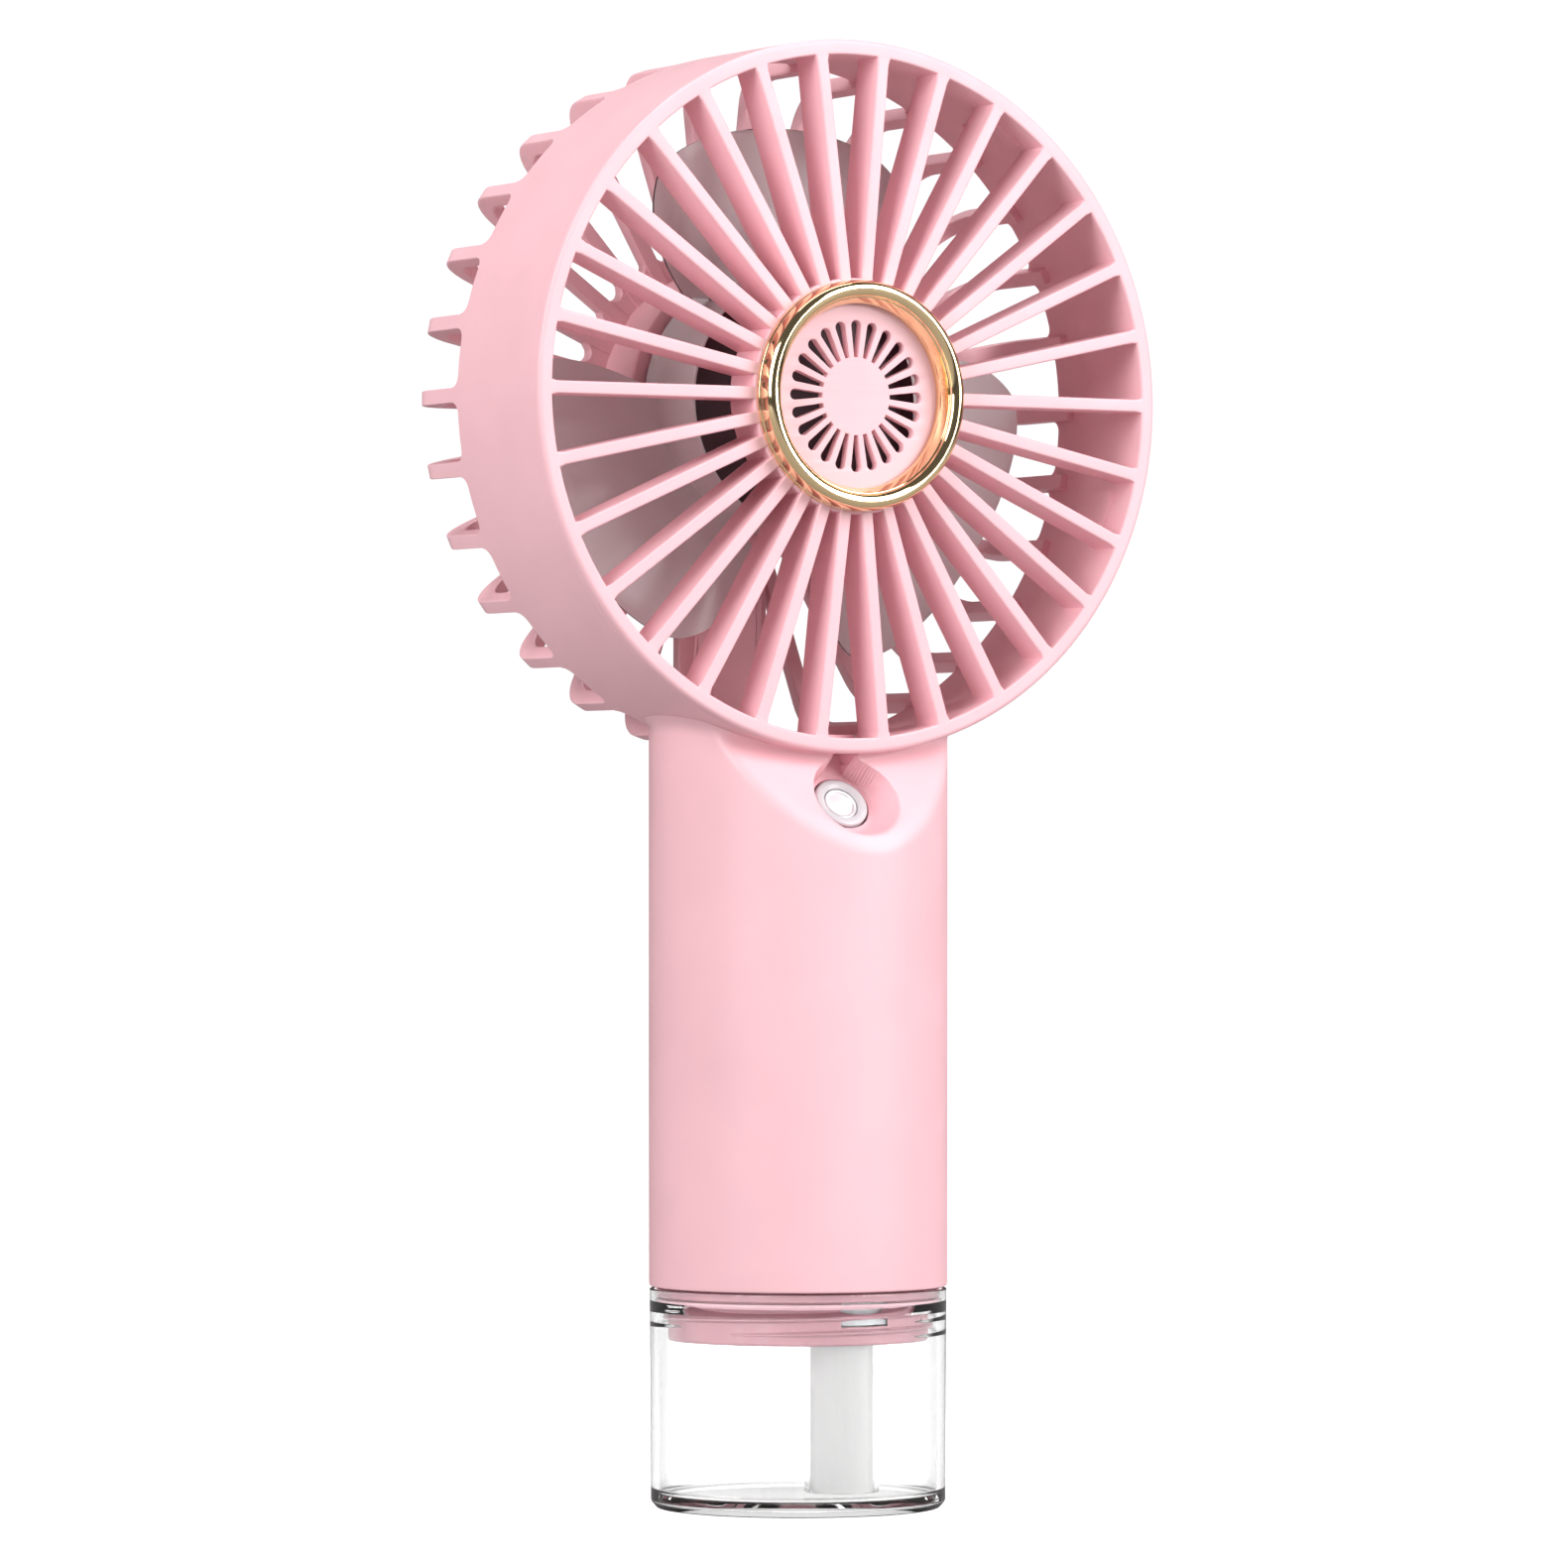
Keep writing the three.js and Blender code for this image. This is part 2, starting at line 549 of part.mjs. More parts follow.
function handleShell() {
  const overHead = (r) => solidOf(rodY(r, -40, 40, 0, HEAD_Z, FINE));
  const outside = solidOf(rodZ(HANDLE_R, HANDLE_Z, HANDLE_TOP))
    .subtract(beyondChin(0))
    .subtract(overHead(HEAD_R + GAP));
  const cavity = solidOf(rodZ(HANDLE_R - SHELL_T, HANDLE_Z - 1, HANDLE_TOP))
    .subtract(beyondChin(SHELL_T))
    .subtract(overHead(HEAD_R + GAP + SHELL_T));
  const pocketWall = pocket(1.3).intersect(outside);
  const nozzleHole = solidOf(new THREE.CylinderGeometry(BEZEL_R + GAP, BEZEL_R + GAP, 8, SMALL)
    .rotateX(Math.PI / 2)
    .rotateX(CHIN_TILT)
    .translate(NOZZLE.x, NOZZLE.y, NOZZLE.z));
  const openings = [
    nozzleHole,
    solidOf(rodY(BUTTON.power.r + 0.35, 18, 26, 0, POWER_Z, ROUND)),
    solidOf(rodY(BUTTON.mist.r + 0.35, 18, 26, 0, MIST_Z, ROUND)),
    solidOf(rodY(1.3, 18, 26, 0, LED_Z)),
    solidOf(block([-4.9, 18, USB_Z - 2], [4.9, 26, USB_Z + 2])),
    solidOf(block([-5, 16.5, 105], [5, 20.5, 120])),
  ];
  return union([outside.subtract(cavity), pocketWall]).subtract(pocket(0)).subtract(union(openings));
}

// ---- buttons and their switches ----

function buttonPieces() {
  const flangeY = 18.9;
  for (const [name, { r, z }] of Object.entries(BUTTON)) {
    const cap = [
      [0, flangeY], [r + 1, flangeY], [r + 1, flangeY + 0.7], [r, flangeY + 0.7],
      [r, 22.7], [r - 0.5, 23.1], [0, 23.2],
    ];
    piece(name + "_button", turned(cap, ROUND).translate(0, 0, z), PINK);
    const body = solidOf(block([-3, BOARD_Y + BOARD_T + GAP, z - 3], [3, 17.8, z + 3]))
      .subtract(solidOf(rodY(2, 16.2, 19, 0, z)));
    piece(name + "_switch", body, BLACK);
    piece(name + "_switch_plunger", rodY(1.6, 17, flangeY - GAP, 0, z), WHITE);
  }
}

// ---- nozzle, in a frame whose Z axis is the spray direction ----
function nozzlePieces() {
  const frame = new THREE.Group();
  frame.position.copy(NOZZLE);
  frame.rotation.x = CHIN_TILT;
  fan.add(frame);
  const ring = (outline, facets = ROUND) => turned(outline, facets).rotateX(Math.PI / 2);
  const bezel = [
    [2.6, -1.4], [BEZEL_R, -1.4], [BEZEL_R, 0.3], [BEZEL_R - 0.4, 0.6], [3.1, 0.5], [2.6, 0.1],
  ];
  piece("nozzle_bezel", ring(bezel), WHITE, frame);
  const plate = [[0, -2.1], [6, -2.1], [6, -1.8], [2.3, -1.8], [2.3, -0.5], [0, -0.3]];
  piece("mesh_plate", ring(plate), STEEL, frame);
  piece("piezo_ring", ring(tubeOutline(3.6, 6, -2.9, -2.4)), CERAMIC, frame);
  piece("atomiser_gasket", ring(tubeOutline(6.3, 7.2, -3, -1.8)), SILICONE, frame);
  piece("atomiser_clamp", ring(tubeOutline(4.3, 7.4, -5, -3.3)), WHITE, frame);
  piece("felt_pad", ring(tubeOutline(0, 3.2, -6.4, -2.4), SMALL), COTTON, frame);
}

// ---- wick and its tube ----
function wickPieces() {
  const tube = [
    [TUBE_R - TUBE_T, 3.2], [TUBE_R - 0.1, 3.2], [TUBE_R, 3.4], [TUBE_R, 33.5], [TUBE_R + 1.6, 33.5],
    [TUBE_R + 1.6, 34.7], [TUBE_R, 34.7], [TUBE_R, 43], [TUBE_R - TUBE_T, 43],
  ];
  piece("wick_tube", turnedUpright(tube, ROUND, 0, WICK_Y), CLEAR);
  const wick = [[0, 3], [WICK_R - 1, 3], [WICK_R - 0.3, 3.3], [WICK_R, 4], [WICK_R, 110], [0, 110]];
  const slab = new THREE.BoxGeometry(60, 60, 60).translate(0, 0, 30 - 6.7);
  slab.rotateX(CHIN_TILT).translate(NOZZLE.x, NOZZLE.y, NOZZLE.z);
  piece("wick", solidOf(turnedUpright(wick, ROUND, 0, WICK_Y)).subtract(solidOf(slab)), COTTON);
  const seal = tubeOutline(TUBE_R + GAP, TUBE_R + 1.6, 28.4, 33.1);
  piece("wick_seal", turnedUpright(seal, ROUND, 0, WICK_Y), SILICONE);
}

// ---- neck, gasket and tank ----

function neckCollar() {
  const outline = [
    [0, NECK_Z], [NECK_R - 0.3, NECK_Z], [NECK_R, NECK_Z + 0.3], [NECK_R, FLANGE_Z], [FLANGE_R, FLANGE_Z],
    [FLANGE_R, HANDLE_Z - 0.3], [HANDLE_R - SHELL_T - GAP, HANDLE_Z - 0.3],
    [HANDLE_R - SHELL_T - GAP, 41], [18.4, 41], [18.4, 35.5], [17.6, 35.5],
    [17.6, NECK_Z + 2], [0, NECK_Z + 2],
  ];
  const ridge = solidOf(threadRidge(NECK_R, NECK_CREST_R, THREAD_Z, 1.55, THREAD_START));
  const sealBoss = solidOf(rodZ(TUBE_R + 3.2, NECK_Z + 1, 33.1, 0, WICK_Y, ROUND))
    .intersect(solidOf(rodZ(NECK_R - 0.3, NECK_Z + 0.5, 34)));
  return solidOf(turnedUpright(outline))
    .add(ridge)
    .add(sealBoss)
    .subtract(solidOf(rodZ(TUBE_R + GAP, NECK_Z - 1, 29, 0, WICK_Y, ROUND)))
    .subtract(solidOf(rodZ(TUBE_R + 2, 28.1, 42, 0, WICK_Y, ROUND)));
}

function tank() {
  const outline = [
    [0, 0], [TANK_R - 1.4, 0], [TANK_R - 0.7, 0.25], [TANK_R - 0.3, 0.8], [TANK_R - 0.2, 1.6],
    [TANK_R, TANK_TOP], [MOUTH_R, TANK_TOP], [MOUTH_R, TANK_LEDGE], [TANK_BORE_R, TANK_LEDGE],
    [TANK_BORE_R, TANK_FLOOR + 1], [TANK_BORE_R - 1, TANK_FLOOR], [0, TANK_FLOOR],
  ];
  // The lugs lie half a pitch above the neck's ridge, so that the two threads are in mesh.
  const lugs = LUG_STARTS.map((start) => {
    const z = THREAD_Z + PITCH / 2 + start * PITCH;
    return solidOf(threadRidge(TANK_BORE_R, TANK_CREST_R, z, LUG_TURNS, THREAD_START + start * Math.PI * 2));
  });
  return union([solidOf(turnedUpright(outline)), ...lugs]);
}

// ---- power pack ----
function powerPieces() {
  const top = CELL_Z + CELL_LENGTH;
  const cell = [
    [0, CELL_Z], [CELL_R - 0.4, CELL_Z], [CELL_R, CELL_Z + 0.4], [CELL_R, top - 1.4],
    [CELL_R - 0.5, top - 0.8], [3, top - 0.8], [3, top], [0, top],
  ];
  piece("battery_cell", turnedUpright(cell, ROUND, 0, CELL_Y), WRAP);
  const tab = (z) => block([-2.5, CELL_Y - 5, z], [2.5, BOARD_Y - 1.4, z + 0.3]);
  piece("battery_tab_top", tab(top + GAP), STEEL);
  piece("battery_tab_bottom", tab(CELL_Z - 0.6), STEEL);
  const trough = solidOf(rodZ(CELL_R + 1.5, CELL_Z + 2, top - 3, 0, CELL_Y, ROUND))
    .subtract(solidOf(rodZ(CELL_R + GAP, CELL_Z, top, 0, CELL_Y, ROUND)))
    .subtract(solidOf(block([-20, -20, 40], [20, CELL_Y + 4, 120])));
  const rails = [-1, 1].map((side) =>
    solidOf(block([side * 10 - 0.7, CELL_Y, CELL_Z + 2], [side * 10 + 0.7, BOARD_Y + 2, top - 3])));
  const shelves = [-1, 1].map((side) =>
    solidOf(block([side * 8.8 - 2, BOARD_Y - 1.5, CELL_Z + 2], [side * 8.8 + 2, BOARD_Y - GAP, top - 3])));
  const battery = solidOf(rodZ(CELL_R + GAP, CELL_Z, top, 0, CELL_Y, ROUND));
  piece("battery_tray", union([trough, ...rails, ...shelves]).subtract(battery), WHITE);
  piece("circuit_board", block([-9, BOARD_Y, 46], [9, BOARD_Y + BOARD_T, 100]), GREEN);
  const port = block([-4.5, BOARD_Y + BOARD_T + GAP, USB_Z - 1.6], [4.5, 22, USB_Z + 1.6]);
  const mouth = block([-4.1, 17, USB_Z - 1.25], [4.1, 23, USB_Z + 1.25]);
  const tongue = block([-3.3, 16.5, USB_Z - 0.35], [3.3, 21.3, USB_Z + 0.35]);
  piece("usb_c_port", solidOf(port).subtract(solidOf(mouth)).add(solidOf(tongue)), STEEL);
  const pipe = [[0, BOARD_Y + BOARD_T + GAP], [1, BOARD_Y + BOARD_T + GAP], [1, 22.3], [0, 22.5]];
  piece("led_light_pipe", turned(pipe, SMALL).translate(0, 0, LED_Z), CLEAR);
}

// ---- assembly ----
piece("rear_cage", rearCage(), PINK);
piece("front_grille", frontGrille(), PINK);
piece("hub_vent_disc", hubVentDisc(), PINK);
piece("gold_trim_ring", goldTrimRing(), GOLD);
piece("duct_cover", ductCover(), PINK);
piece("impeller", impeller(), WHITE);
motorPieces();
motorWires();
piece("handle_shell", handleShell(), PINK);
buttonPieces();
nozzlePieces();
wickPieces();
piece("neck_collar", neckCollar(), DEEP_PINK);
const gasket = tubeOutline(20.75, 21.4, TANK_LEDGE + GAP, FLANGE_Z - GAP);
piece("tank_gasket", turnedUpright(gasket), PINK_SILICONE);
piece("tank", tank(), CLEAR);
powerPieces();

export default fan;
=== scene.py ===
# Looks of the handheld misting fan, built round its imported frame.
# Lengths in the builders are millimetres in the part's own frame: +Z up, front towards -Y.
import math

import bmesh
import bpy
from mathutils import Matrix, Vector
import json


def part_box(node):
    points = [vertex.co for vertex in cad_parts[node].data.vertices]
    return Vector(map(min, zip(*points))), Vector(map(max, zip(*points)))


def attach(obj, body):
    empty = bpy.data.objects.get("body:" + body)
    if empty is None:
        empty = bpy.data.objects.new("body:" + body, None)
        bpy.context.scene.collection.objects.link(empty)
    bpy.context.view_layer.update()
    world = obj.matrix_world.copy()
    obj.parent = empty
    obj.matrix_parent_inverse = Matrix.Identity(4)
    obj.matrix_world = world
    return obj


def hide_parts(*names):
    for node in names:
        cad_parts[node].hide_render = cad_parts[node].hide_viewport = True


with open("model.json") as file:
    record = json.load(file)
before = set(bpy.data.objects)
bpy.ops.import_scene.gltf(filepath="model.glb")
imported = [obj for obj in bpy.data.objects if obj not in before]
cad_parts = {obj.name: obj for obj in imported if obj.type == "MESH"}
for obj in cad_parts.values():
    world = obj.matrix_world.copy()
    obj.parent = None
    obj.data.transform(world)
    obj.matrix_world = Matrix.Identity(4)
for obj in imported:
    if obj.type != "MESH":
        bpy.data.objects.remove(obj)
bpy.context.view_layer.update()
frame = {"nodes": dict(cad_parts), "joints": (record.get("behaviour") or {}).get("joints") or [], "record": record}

MM = 0.001
TAU = 2 * math.pi


def low(node):
    """The lowest corner of a CAD node's box, in millimetres."""
    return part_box(node)[0] / MM


def high(node):
    """The highest corner of a CAD node's box, in millimetres."""
    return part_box(node)[1] / MM


# ---- places, from the frame ----
SPIN = next(j for j in frame["joints"] if j["name"] == "impeller_spin")
HEAD_Z = SPIN["pos_m"][2] / MM
HEAD_R = high("rear_cage").x
CAGE_REAR = high("rear_cage").y
HANDLE_R = high("handle_shell").x
HANDLE_Z = low("handle_shell").z
TANK_TOP = high("tank").z
TANK_R = high("tank").x
NECK_Z = low("neck_collar").z
WICK_R = high("wick").x
WICK_Y = high("wick").y - WICK_R
POWER_Z, MIST_Z, LED_Z, USB_Z = [
    (low(node).z + high(node).z) / 2
    for node in ("power_button", "mist_button", "led_light_pipe", "usb_c_port")]

# ---- fan head ----
RIM_FRONT = -16.5
SPOKES = 30
PITCH_ANGLE = TAU / SPOKES
WALL_T = 1.3
WALL_REAR = 9.2
RIM_T = 1.6
RIM_INNER_R = 50.9
SKIRT_REAR = -1.0
SEAM = 0.06  # a moulded seam between pieces that are fitted together
INSET = 0.02  # keeps a joined face off the face beside it
RIB_W = 2.3
RIB_DEPTH = 2.5
RIB_ELBOW_R = 6.0
RIB_FILLET = 5.0  # inside the elbow
NOTCH_R = 1.8  # fillet between a rib and the ring wall
SPOKE_W = 1.9
HUB_R = 17.6
HUB_BACK = -10.0
HUB_SEAT = -17.4
HUB_T = 1.8
HUB_BORE_R = 12.4
DISC_R = 14.2
SLOTS = 24
CLIPS = 5
CLIP_R = 50.35
BOSS_R = 21.3
BOSS_T = 1.2
BOSS_LIP_R = 17.0
BOSS_FRONT = 13.6
PLATE_R = 24.5
PLATE_T = 2.2
MOTOR_R = 12.0
SLEEVE_GAP = 0.4  # between the motor and the sleeve round it
STRAP_HALF_X = 7.6
STRAP_HALF_Z = 14.1
SCREW_X = 8.5

# ---- impeller ----
CUP_R = 19.5
CUP_T = 1.3
CUP_FRONT = -2.2
CUP_WEB = 0.8  # Y of the face inside the impeller hub's front rim
CUP_REAR = 12.8
CUP_RIM_T = 0.5
BLADES = 3
BLADE_FIRST = math.radians(88)
BLADE_ROOT_R = 15.0
BLADE_ROOT_HALF = 13.0
PETAL_R = 32.0  # a blade is widest here, and rounded off beyond it
PETAL_TIP = 9.9
PETAL_HALF = 23.4
PETAL_SKEW = -0.268  # sideways lean of a blade with radius
BLADE_Y = 7.7
BLADE_SLOPE = -0.167
BLADE_T = 1.1

# ---- handle, nozzle and buttons ----
SHELL_T = 1.6
FOOT_EDGE_R = 0.4
SADDLE_R = HEAD_R + 0.03  # the handle's top, which the head rests in
SADDLE_FILLET = 1.7
CHIN_Z = 100.2
CHIN_TILT = math.radians(53.4)
CHIN_BLEND = 1.6
NORMAL = Vector((0, -math.sin(CHIN_TILT), math.cos(CHIN_TILT)))
UPHILL = Vector((0, math.cos(CHIN_TILT), math.sin(CHIN_TILT)))
NOZZLE = Vector((0, -12.7, 105.85))
BEZEL_R = 4.25
BEZEL_BORE_R = 2.75
POCKET_DEPTH = 4.5
POCKET_FLOOR_R = BEZEL_R + 0.7
POCKET_R = 7.0
POCKET_SLIDE = 2.0  # how far downhill the outline's centre moves as the pocket rises
POCKET_BLEND = 0.7
POWER_R = 4.3
MIST_R = 3.5
BUTTON_GAP = 0.25

# ---- neck, wick and tank ----
NECK_R = 19.6
NECK_LINER_R = 17.6
NECK_TOP = 41.0
FLANGE_R = 21.3
FLANGE_Z = 31.8
THREAD_PITCH = 2.2
THREAD_START = math.radians(-150)
THREAD_Z = NECK_Z + 1.62
THREAD_TURNS = 1.55
THREAD_CREST_R = 20.4
RUN_OUT_TURNS = 0.08 * THREAD_TURNS
LUG_TURNS = 0.2
LUG_CREST_R = 20.05
LUG_STARTS = (-0.767, -0.267, 0.233, 0.733)  # in turns along the thread, at two opposite sides
TANK_BORE_R = 20.95
TANK_MOUTH_R = 21.7
TANK_FLOOR = 2.2
MOUTH_Z = 31.2
CONE_Z = 29.6  # where the bore starts to widen to the mouth
TUBE_R = 5.5
TUBE_T = 0.55
TUBE_FLANGE_R = TUBE_R + 1.6
TUBE_FLANGE_Z = 33.5
TUBE_FLANGE_T = 1.2
WICK_LENGTH = 110  # before the sloped cut at its top

# ---- studio: places in metres ----
FLOOR_HALF = 6.0
FLOOR_Z = -0.0002
FLOOR_GLOW = 0.9  # seen by the eye only
BACKDROP = 1.05  # seen by the eye only
AMBIENT = 0.2
REFLECTED = 0.1  # what polished surfaces see of the dark studio
AIM = (0, 0, 0.12)
AZIMUTH = math.radians(-30)
EYE_DISTANCE = 1.2
EYE_ASIDE = -0.00212
EYE_HEIGHT = 0.0985
LENS = 182.8  # its focal length in millimetres
LENS_SHIFT = 0.044


# ---- mesh tools ----
def arc(centre, radius, start, end, steps):
    """Points on an arc, both ends included; angles in degrees."""
    return [(centre[0] + radius * math.cos(math.radians(start + (end - start) * i / steps)),
             centre[1] + radius * math.sin(math.radians(start + (end - start) * i / steps)))
            for i in range(steps + 1)]


def round_off(radius, inside):
    """How far a quarter round has left its tangent at a distance along it."""
    return radius - math.sqrt(max(radius ** 2 - min(inside, radius) ** 2, 0.0))


def rounded(corners, steps=4):
    """A closed outline whose corners (a, b, radius) are rounded off."""
    out = []
    count = len(corners)
    for i, (a, b, radius) in enumerate(corners):
        here = Vector((a, b))
        if radius <= 0:
            out.append((a, b))
            continue
        before = (Vector(corners[i - 1][:2]) - here).normalized()
        after = (Vector(corners[(i + 1) % count][:2]) - here).normalized()
        half = before.angle(after) / 2
        reach = radius / math.tan(half)
        centre = here + (before + after).normalized() * (radius / math.sin(half))
        start = here + before * reach - centre
        turn = start.angle_signed(here + after * reach - centre)
        for k in range(steps + 1):
            spun = Matrix.Rotation(-turn * k / steps, 2) @ start
            out.append(tuple(centre + spun))
    return out


def strip(rings, wrap=False):
    """A closed shell through rings of points; its ends are capped, or joined when wrap is set."""
    count = len(rings[0])
    verts = [Vector(p) for ring in rings for p in ring]
    faces = []
    spans = len(rings) if wrap else len(rings) - 1
    for i in range(spans):
        a = i * count
        b = ((i + 1) % len(rings)) * count
        for k in range(count):
            n = (k + 1) % count
            faces.append((a + k, a + n, b + n, b + k))
    if not wrap:
        faces.append(tuple(reversed(range(count))))
        faces.append(tuple(range((len(rings) - 1) * count, len(rings) * count)))
    return verts, faces


def on_head(r, y, angle):
    """A point at a radius and angle about the fan's axis; the angle starts at +X and turns upwards."""
    return Vector((r * math.cos(angle), y, HEAD_Z + r * math.sin(angle)))


def radial(angle):
    """The directions outwards and sideways at an angle about the fan's axis."""
    return Vector((math.cos(angle), 0, math.sin(angle))), Vector((-math.sin(angle), 0, math.cos(angle)))


def head_lathe(outline, steps=180):
    """A closed outline of (radius, y) turned about the fan's axis."""
    return strip([[on_head(r, y, TAU * i / steps) for r, y in outline] for i in range(steps)], wrap=True)


def upright_lathe(outline, steps=128, x=0.0, y=0.0):
    """A closed outline of (radius, z) turned about a vertical axis."""
    rings = []
    for i in range(steps):
        a = TAU * i / steps
        rings.append([Vector((x + r * math.cos(a), y + r * math.sin(a), z)) for r, z in outline])
    return strip(rings, wrap=True)


def axis_lathe(outline, origin, axis, steps=64):
    """A closed outline of (radius, height) turned about any axis through origin."""
    turn = Vector((0, 0, 1)).rotation_difference(Vector(axis)).to_matrix()
    verts, faces = upright_lathe(outline, steps)
    return [turn @ v + Vector(origin) for v in verts], faces


def block(corner_a, corner_b):
    """A plain box between two opposite corners."""
    x0, y0, z0 = corner_a
    x1, y1, z1 = corner_b
    rings = [[(x0, y0, z), (x1, y0, z), (x1, y1, z), (x0, y1, z)] for z in (z0, z1)]
    return strip(rings)


def rounded_bar(half_x, half_z, radius, y0, y1, centre=(0, 0), steps=5):
    """A bar along Y with a rounded rectangular section."""
    corners = [(-half_x, -half_z, radius), (half_x, -half_z, radius), (half_x, half_z, radius),
               (-half_x, half_z, radius)]
    section = rounded(corners, steps)
    return strip([[(a + centre[0], y, b + centre[1]) for a, b in section] for y in (y0, y1)])


def mesh_of(name, shells):
    """A mesh in metres from shells in millimetres, with coincident points merged and faces outwards."""
    bm = bmesh.new()
    for verts, faces in shells:
        made = [bm.verts.new(Vector(v) * MM) for v in verts]
        for face in faces:
            bm.faces.new([made[i] for i in face])
    bmesh.ops.remove_doubles(bm, verts=bm.verts, dist=1e-7)
    bmesh.ops.dissolve_degenerate(bm, edges=bm.edges, dist=1e-8)
    bmesh.ops.recalc_face_normals(bm, faces=bm.faces)
    mesh = bpy.data.meshes.new(name)
    bm.to_mesh(mesh)
    bm.free()
    return mesh


def placed(name, data):
    """An object in the scene that shows a mesh, a curve, a light or a camera."""
    obj = bpy.data.objects.new(name, data)
    bpy.context.scene.collection.objects.link(obj)
    return obj


def made(name, shells):
    """An object in the scene from shells."""
    return placed(name, mesh_of(name, shells))


def apply_modifiers(obj):
    """Writes the object's modifiers into its mesh."""
    seen = obj.evaluated_get(bpy.context.evaluated_depsgraph_get())
    mesh = bpy.data.meshes.new_from_object(seen)
    obj.modifiers.clear()
    obj.data = mesh


def boolean(obj, other, operation):
    """Joins another object to obj, or cuts it from obj, and then removes it."""
    step = obj.modifiers.new("step", "BOOLEAN")
    step.operation = operation
    step.solver = "MANIFOLD"
    step.object = other
    bpy.context.view_layer.update()
    apply_modifiers(obj)
    bpy.data.objects.remove(other)


def combine(obj, shell_groups, operation):
    """Joins to obj, or cuts from it, one closed body for each group of shells."""
    for i, shells in enumerate(shell_groups):
        boolean(obj, made(f"{obj.name}_{operation.lower()}_{i}", shells), operation)


def bevel(obj, width, segments=2, angle=30):
    """Rounds off the edges that turn by more than an angle in degrees."""
    step = obj.modifiers.new("bevel", "BEVEL")
    step.width = width * MM
    step.segments = segments
    step.limit_method = "ANGLE"
    step.angle_limit = math.radians(angle)
    bpy.context.view_layer.update()
    apply_modifiers(obj)


def dress(obj, body, slot, *nodes, material=None, sharp=34):
    """Gives a finished piece its shading, body, slot, material and the CAD nodes that it stands for."""
    obj.data.shade_smooth()
    obj.data.set_sharp_from_angle(angle=math.radians(sharp))
    step = obj.modifiers.new("even_shading", "WEIGHTED_NORMAL")
    step.keep_sharp = True
    bpy.context.view_layer.update()
    apply_modifiers(obj)
    obj.data.materials.clear()
    obj.data.materials.append(material or MATERIALS[slot])
    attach(obj, body)
    if nodes:
        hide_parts(*nodes)
    return obj


# ---- materials ----
def node_material(name):
    """A material with its nodes, links, shader and the place on the piece that textures start from."""
    material = bpy.data.materials.new(name)
    material.use_nodes = True
    nodes = material.node_tree.nodes
    shader = nodes.get("Principled BSDF")
    place = nodes.new("ShaderNodeTexCoord")
    return material, nodes, material.node_tree.links, shader, place.outputs["Object"]


def noise(nodes, links, place, size, detail=3.0, stretch=(1, 1, 1)):
    """A noise whose grain is about size millimetres."""
    mapping = nodes.new("ShaderNodeMapping")
    mapping.inputs["Scale"].default_value = stretch
    links.new(place, mapping.inputs["Vector"])
    texture = nodes.new("ShaderNodeTexNoise")
    texture.inputs["Scale"].default_value = 1 / (size * MM)
    texture.inputs["Detail"].default_value = detail
    links.new(mapping.outputs["Vector"], texture.inputs["Vector"])
    return texture.outputs["Fac"]


def spread(nodes, links, value, lowest, highest, start=0.3, end=0.7):
    """A value from start to end, stretched to run from lowest to highest."""
    ranged = nodes.new("ShaderNodeMapRange")
    ranged.inputs["From Min"].default_value = start
    ranged.inputs["From Max"].default_value = end
    ranged.inputs["To Min"].default_value = lowest
    ranged.inputs["To Max"].default_value = highest
    links.new(value, ranged.inputs["Value"])
    return ranged.outputs["Result"]


def blend_colours(nodes, links, value, first, second):
    """A blend from first, which is a colour or a node's output, to the colour second."""
    mix = nodes.new("ShaderNodeMix")
    mix.data_type = "RGBA"
    mix.inputs["B"].default_value = (*second, 1)
    links.new(value, mix.inputs["Factor"])
    if isinstance(first, tuple):
        mix.inputs["A"].default_value = (*first, 1)
    else:
        links.new(first, mix.inputs["A"])
    return mix.outputs["Result"]


def larger(nodes, links, first, second):
    """The larger of two values."""
    either = nodes.new("ShaderNodeMath")
    either.operation = "MAXIMUM"
    links.new(first, either.inputs[0])
    links.new(second, either.inputs[1])
    return either.outputs[0]


def add_bump(nodes, links, shader, value, depth):
    """A bump of the given depth in millimetres."""
    bump = nodes.new("ShaderNodeBump")
    bump.inputs["Distance"].default_value = depth * MM
    bump.inputs["Strength"].default_value = 1.0
    links.new(value, bump.inputs["Height"])
    links.new(bump.outputs["Normal"], shader.inputs["Normal"])


def scaled(colour, factor):
    """A colour made darker or lighter by a factor."""
    return tuple(min(1.0, c * factor) for c in colour)


def moulded(name, colour, rough=(0.34, 0.44), mottle=0.03, grain=0.35, depth=0.004, wear=0.06, **sockets):
    """A moulded plastic: faint mottling, uneven gloss, a fine spark texture and paler worn edges."""
    material, nodes, links, shader, place = node_material(name)
    cloud = spread(nodes, links, noise(nodes, links, place, 14), 0, 1)
    base = blend_colours(nodes, links, cloud, scaled(colour, 1 - mottle), scaled(colour, 1 + mottle))
    pale = tuple((1 + c) / 2 for c in colour)
    edges = nodes.new("ShaderNodeNewGeometry")
    worn = spread(nodes, links, edges.outputs["Pointiness"], 0, wear, 0.52, 0.62)
    links.new(blend_colours(nodes, links, worn, base, pale), shader.inputs["Base Color"])
    smear = noise(nodes, links, place, 5, 4, (1, 1, 0.35))
    links.new(spread(nodes, links, smear, rough[0], rough[1]), shader.inputs["Roughness"])
    add_bump(nodes, links, shader, noise(nodes, links, place, grain, 2), depth)
    for socket, value in sockets.items():
        shader.inputs[socket.replace("_", " ")].default_value = value
    return material


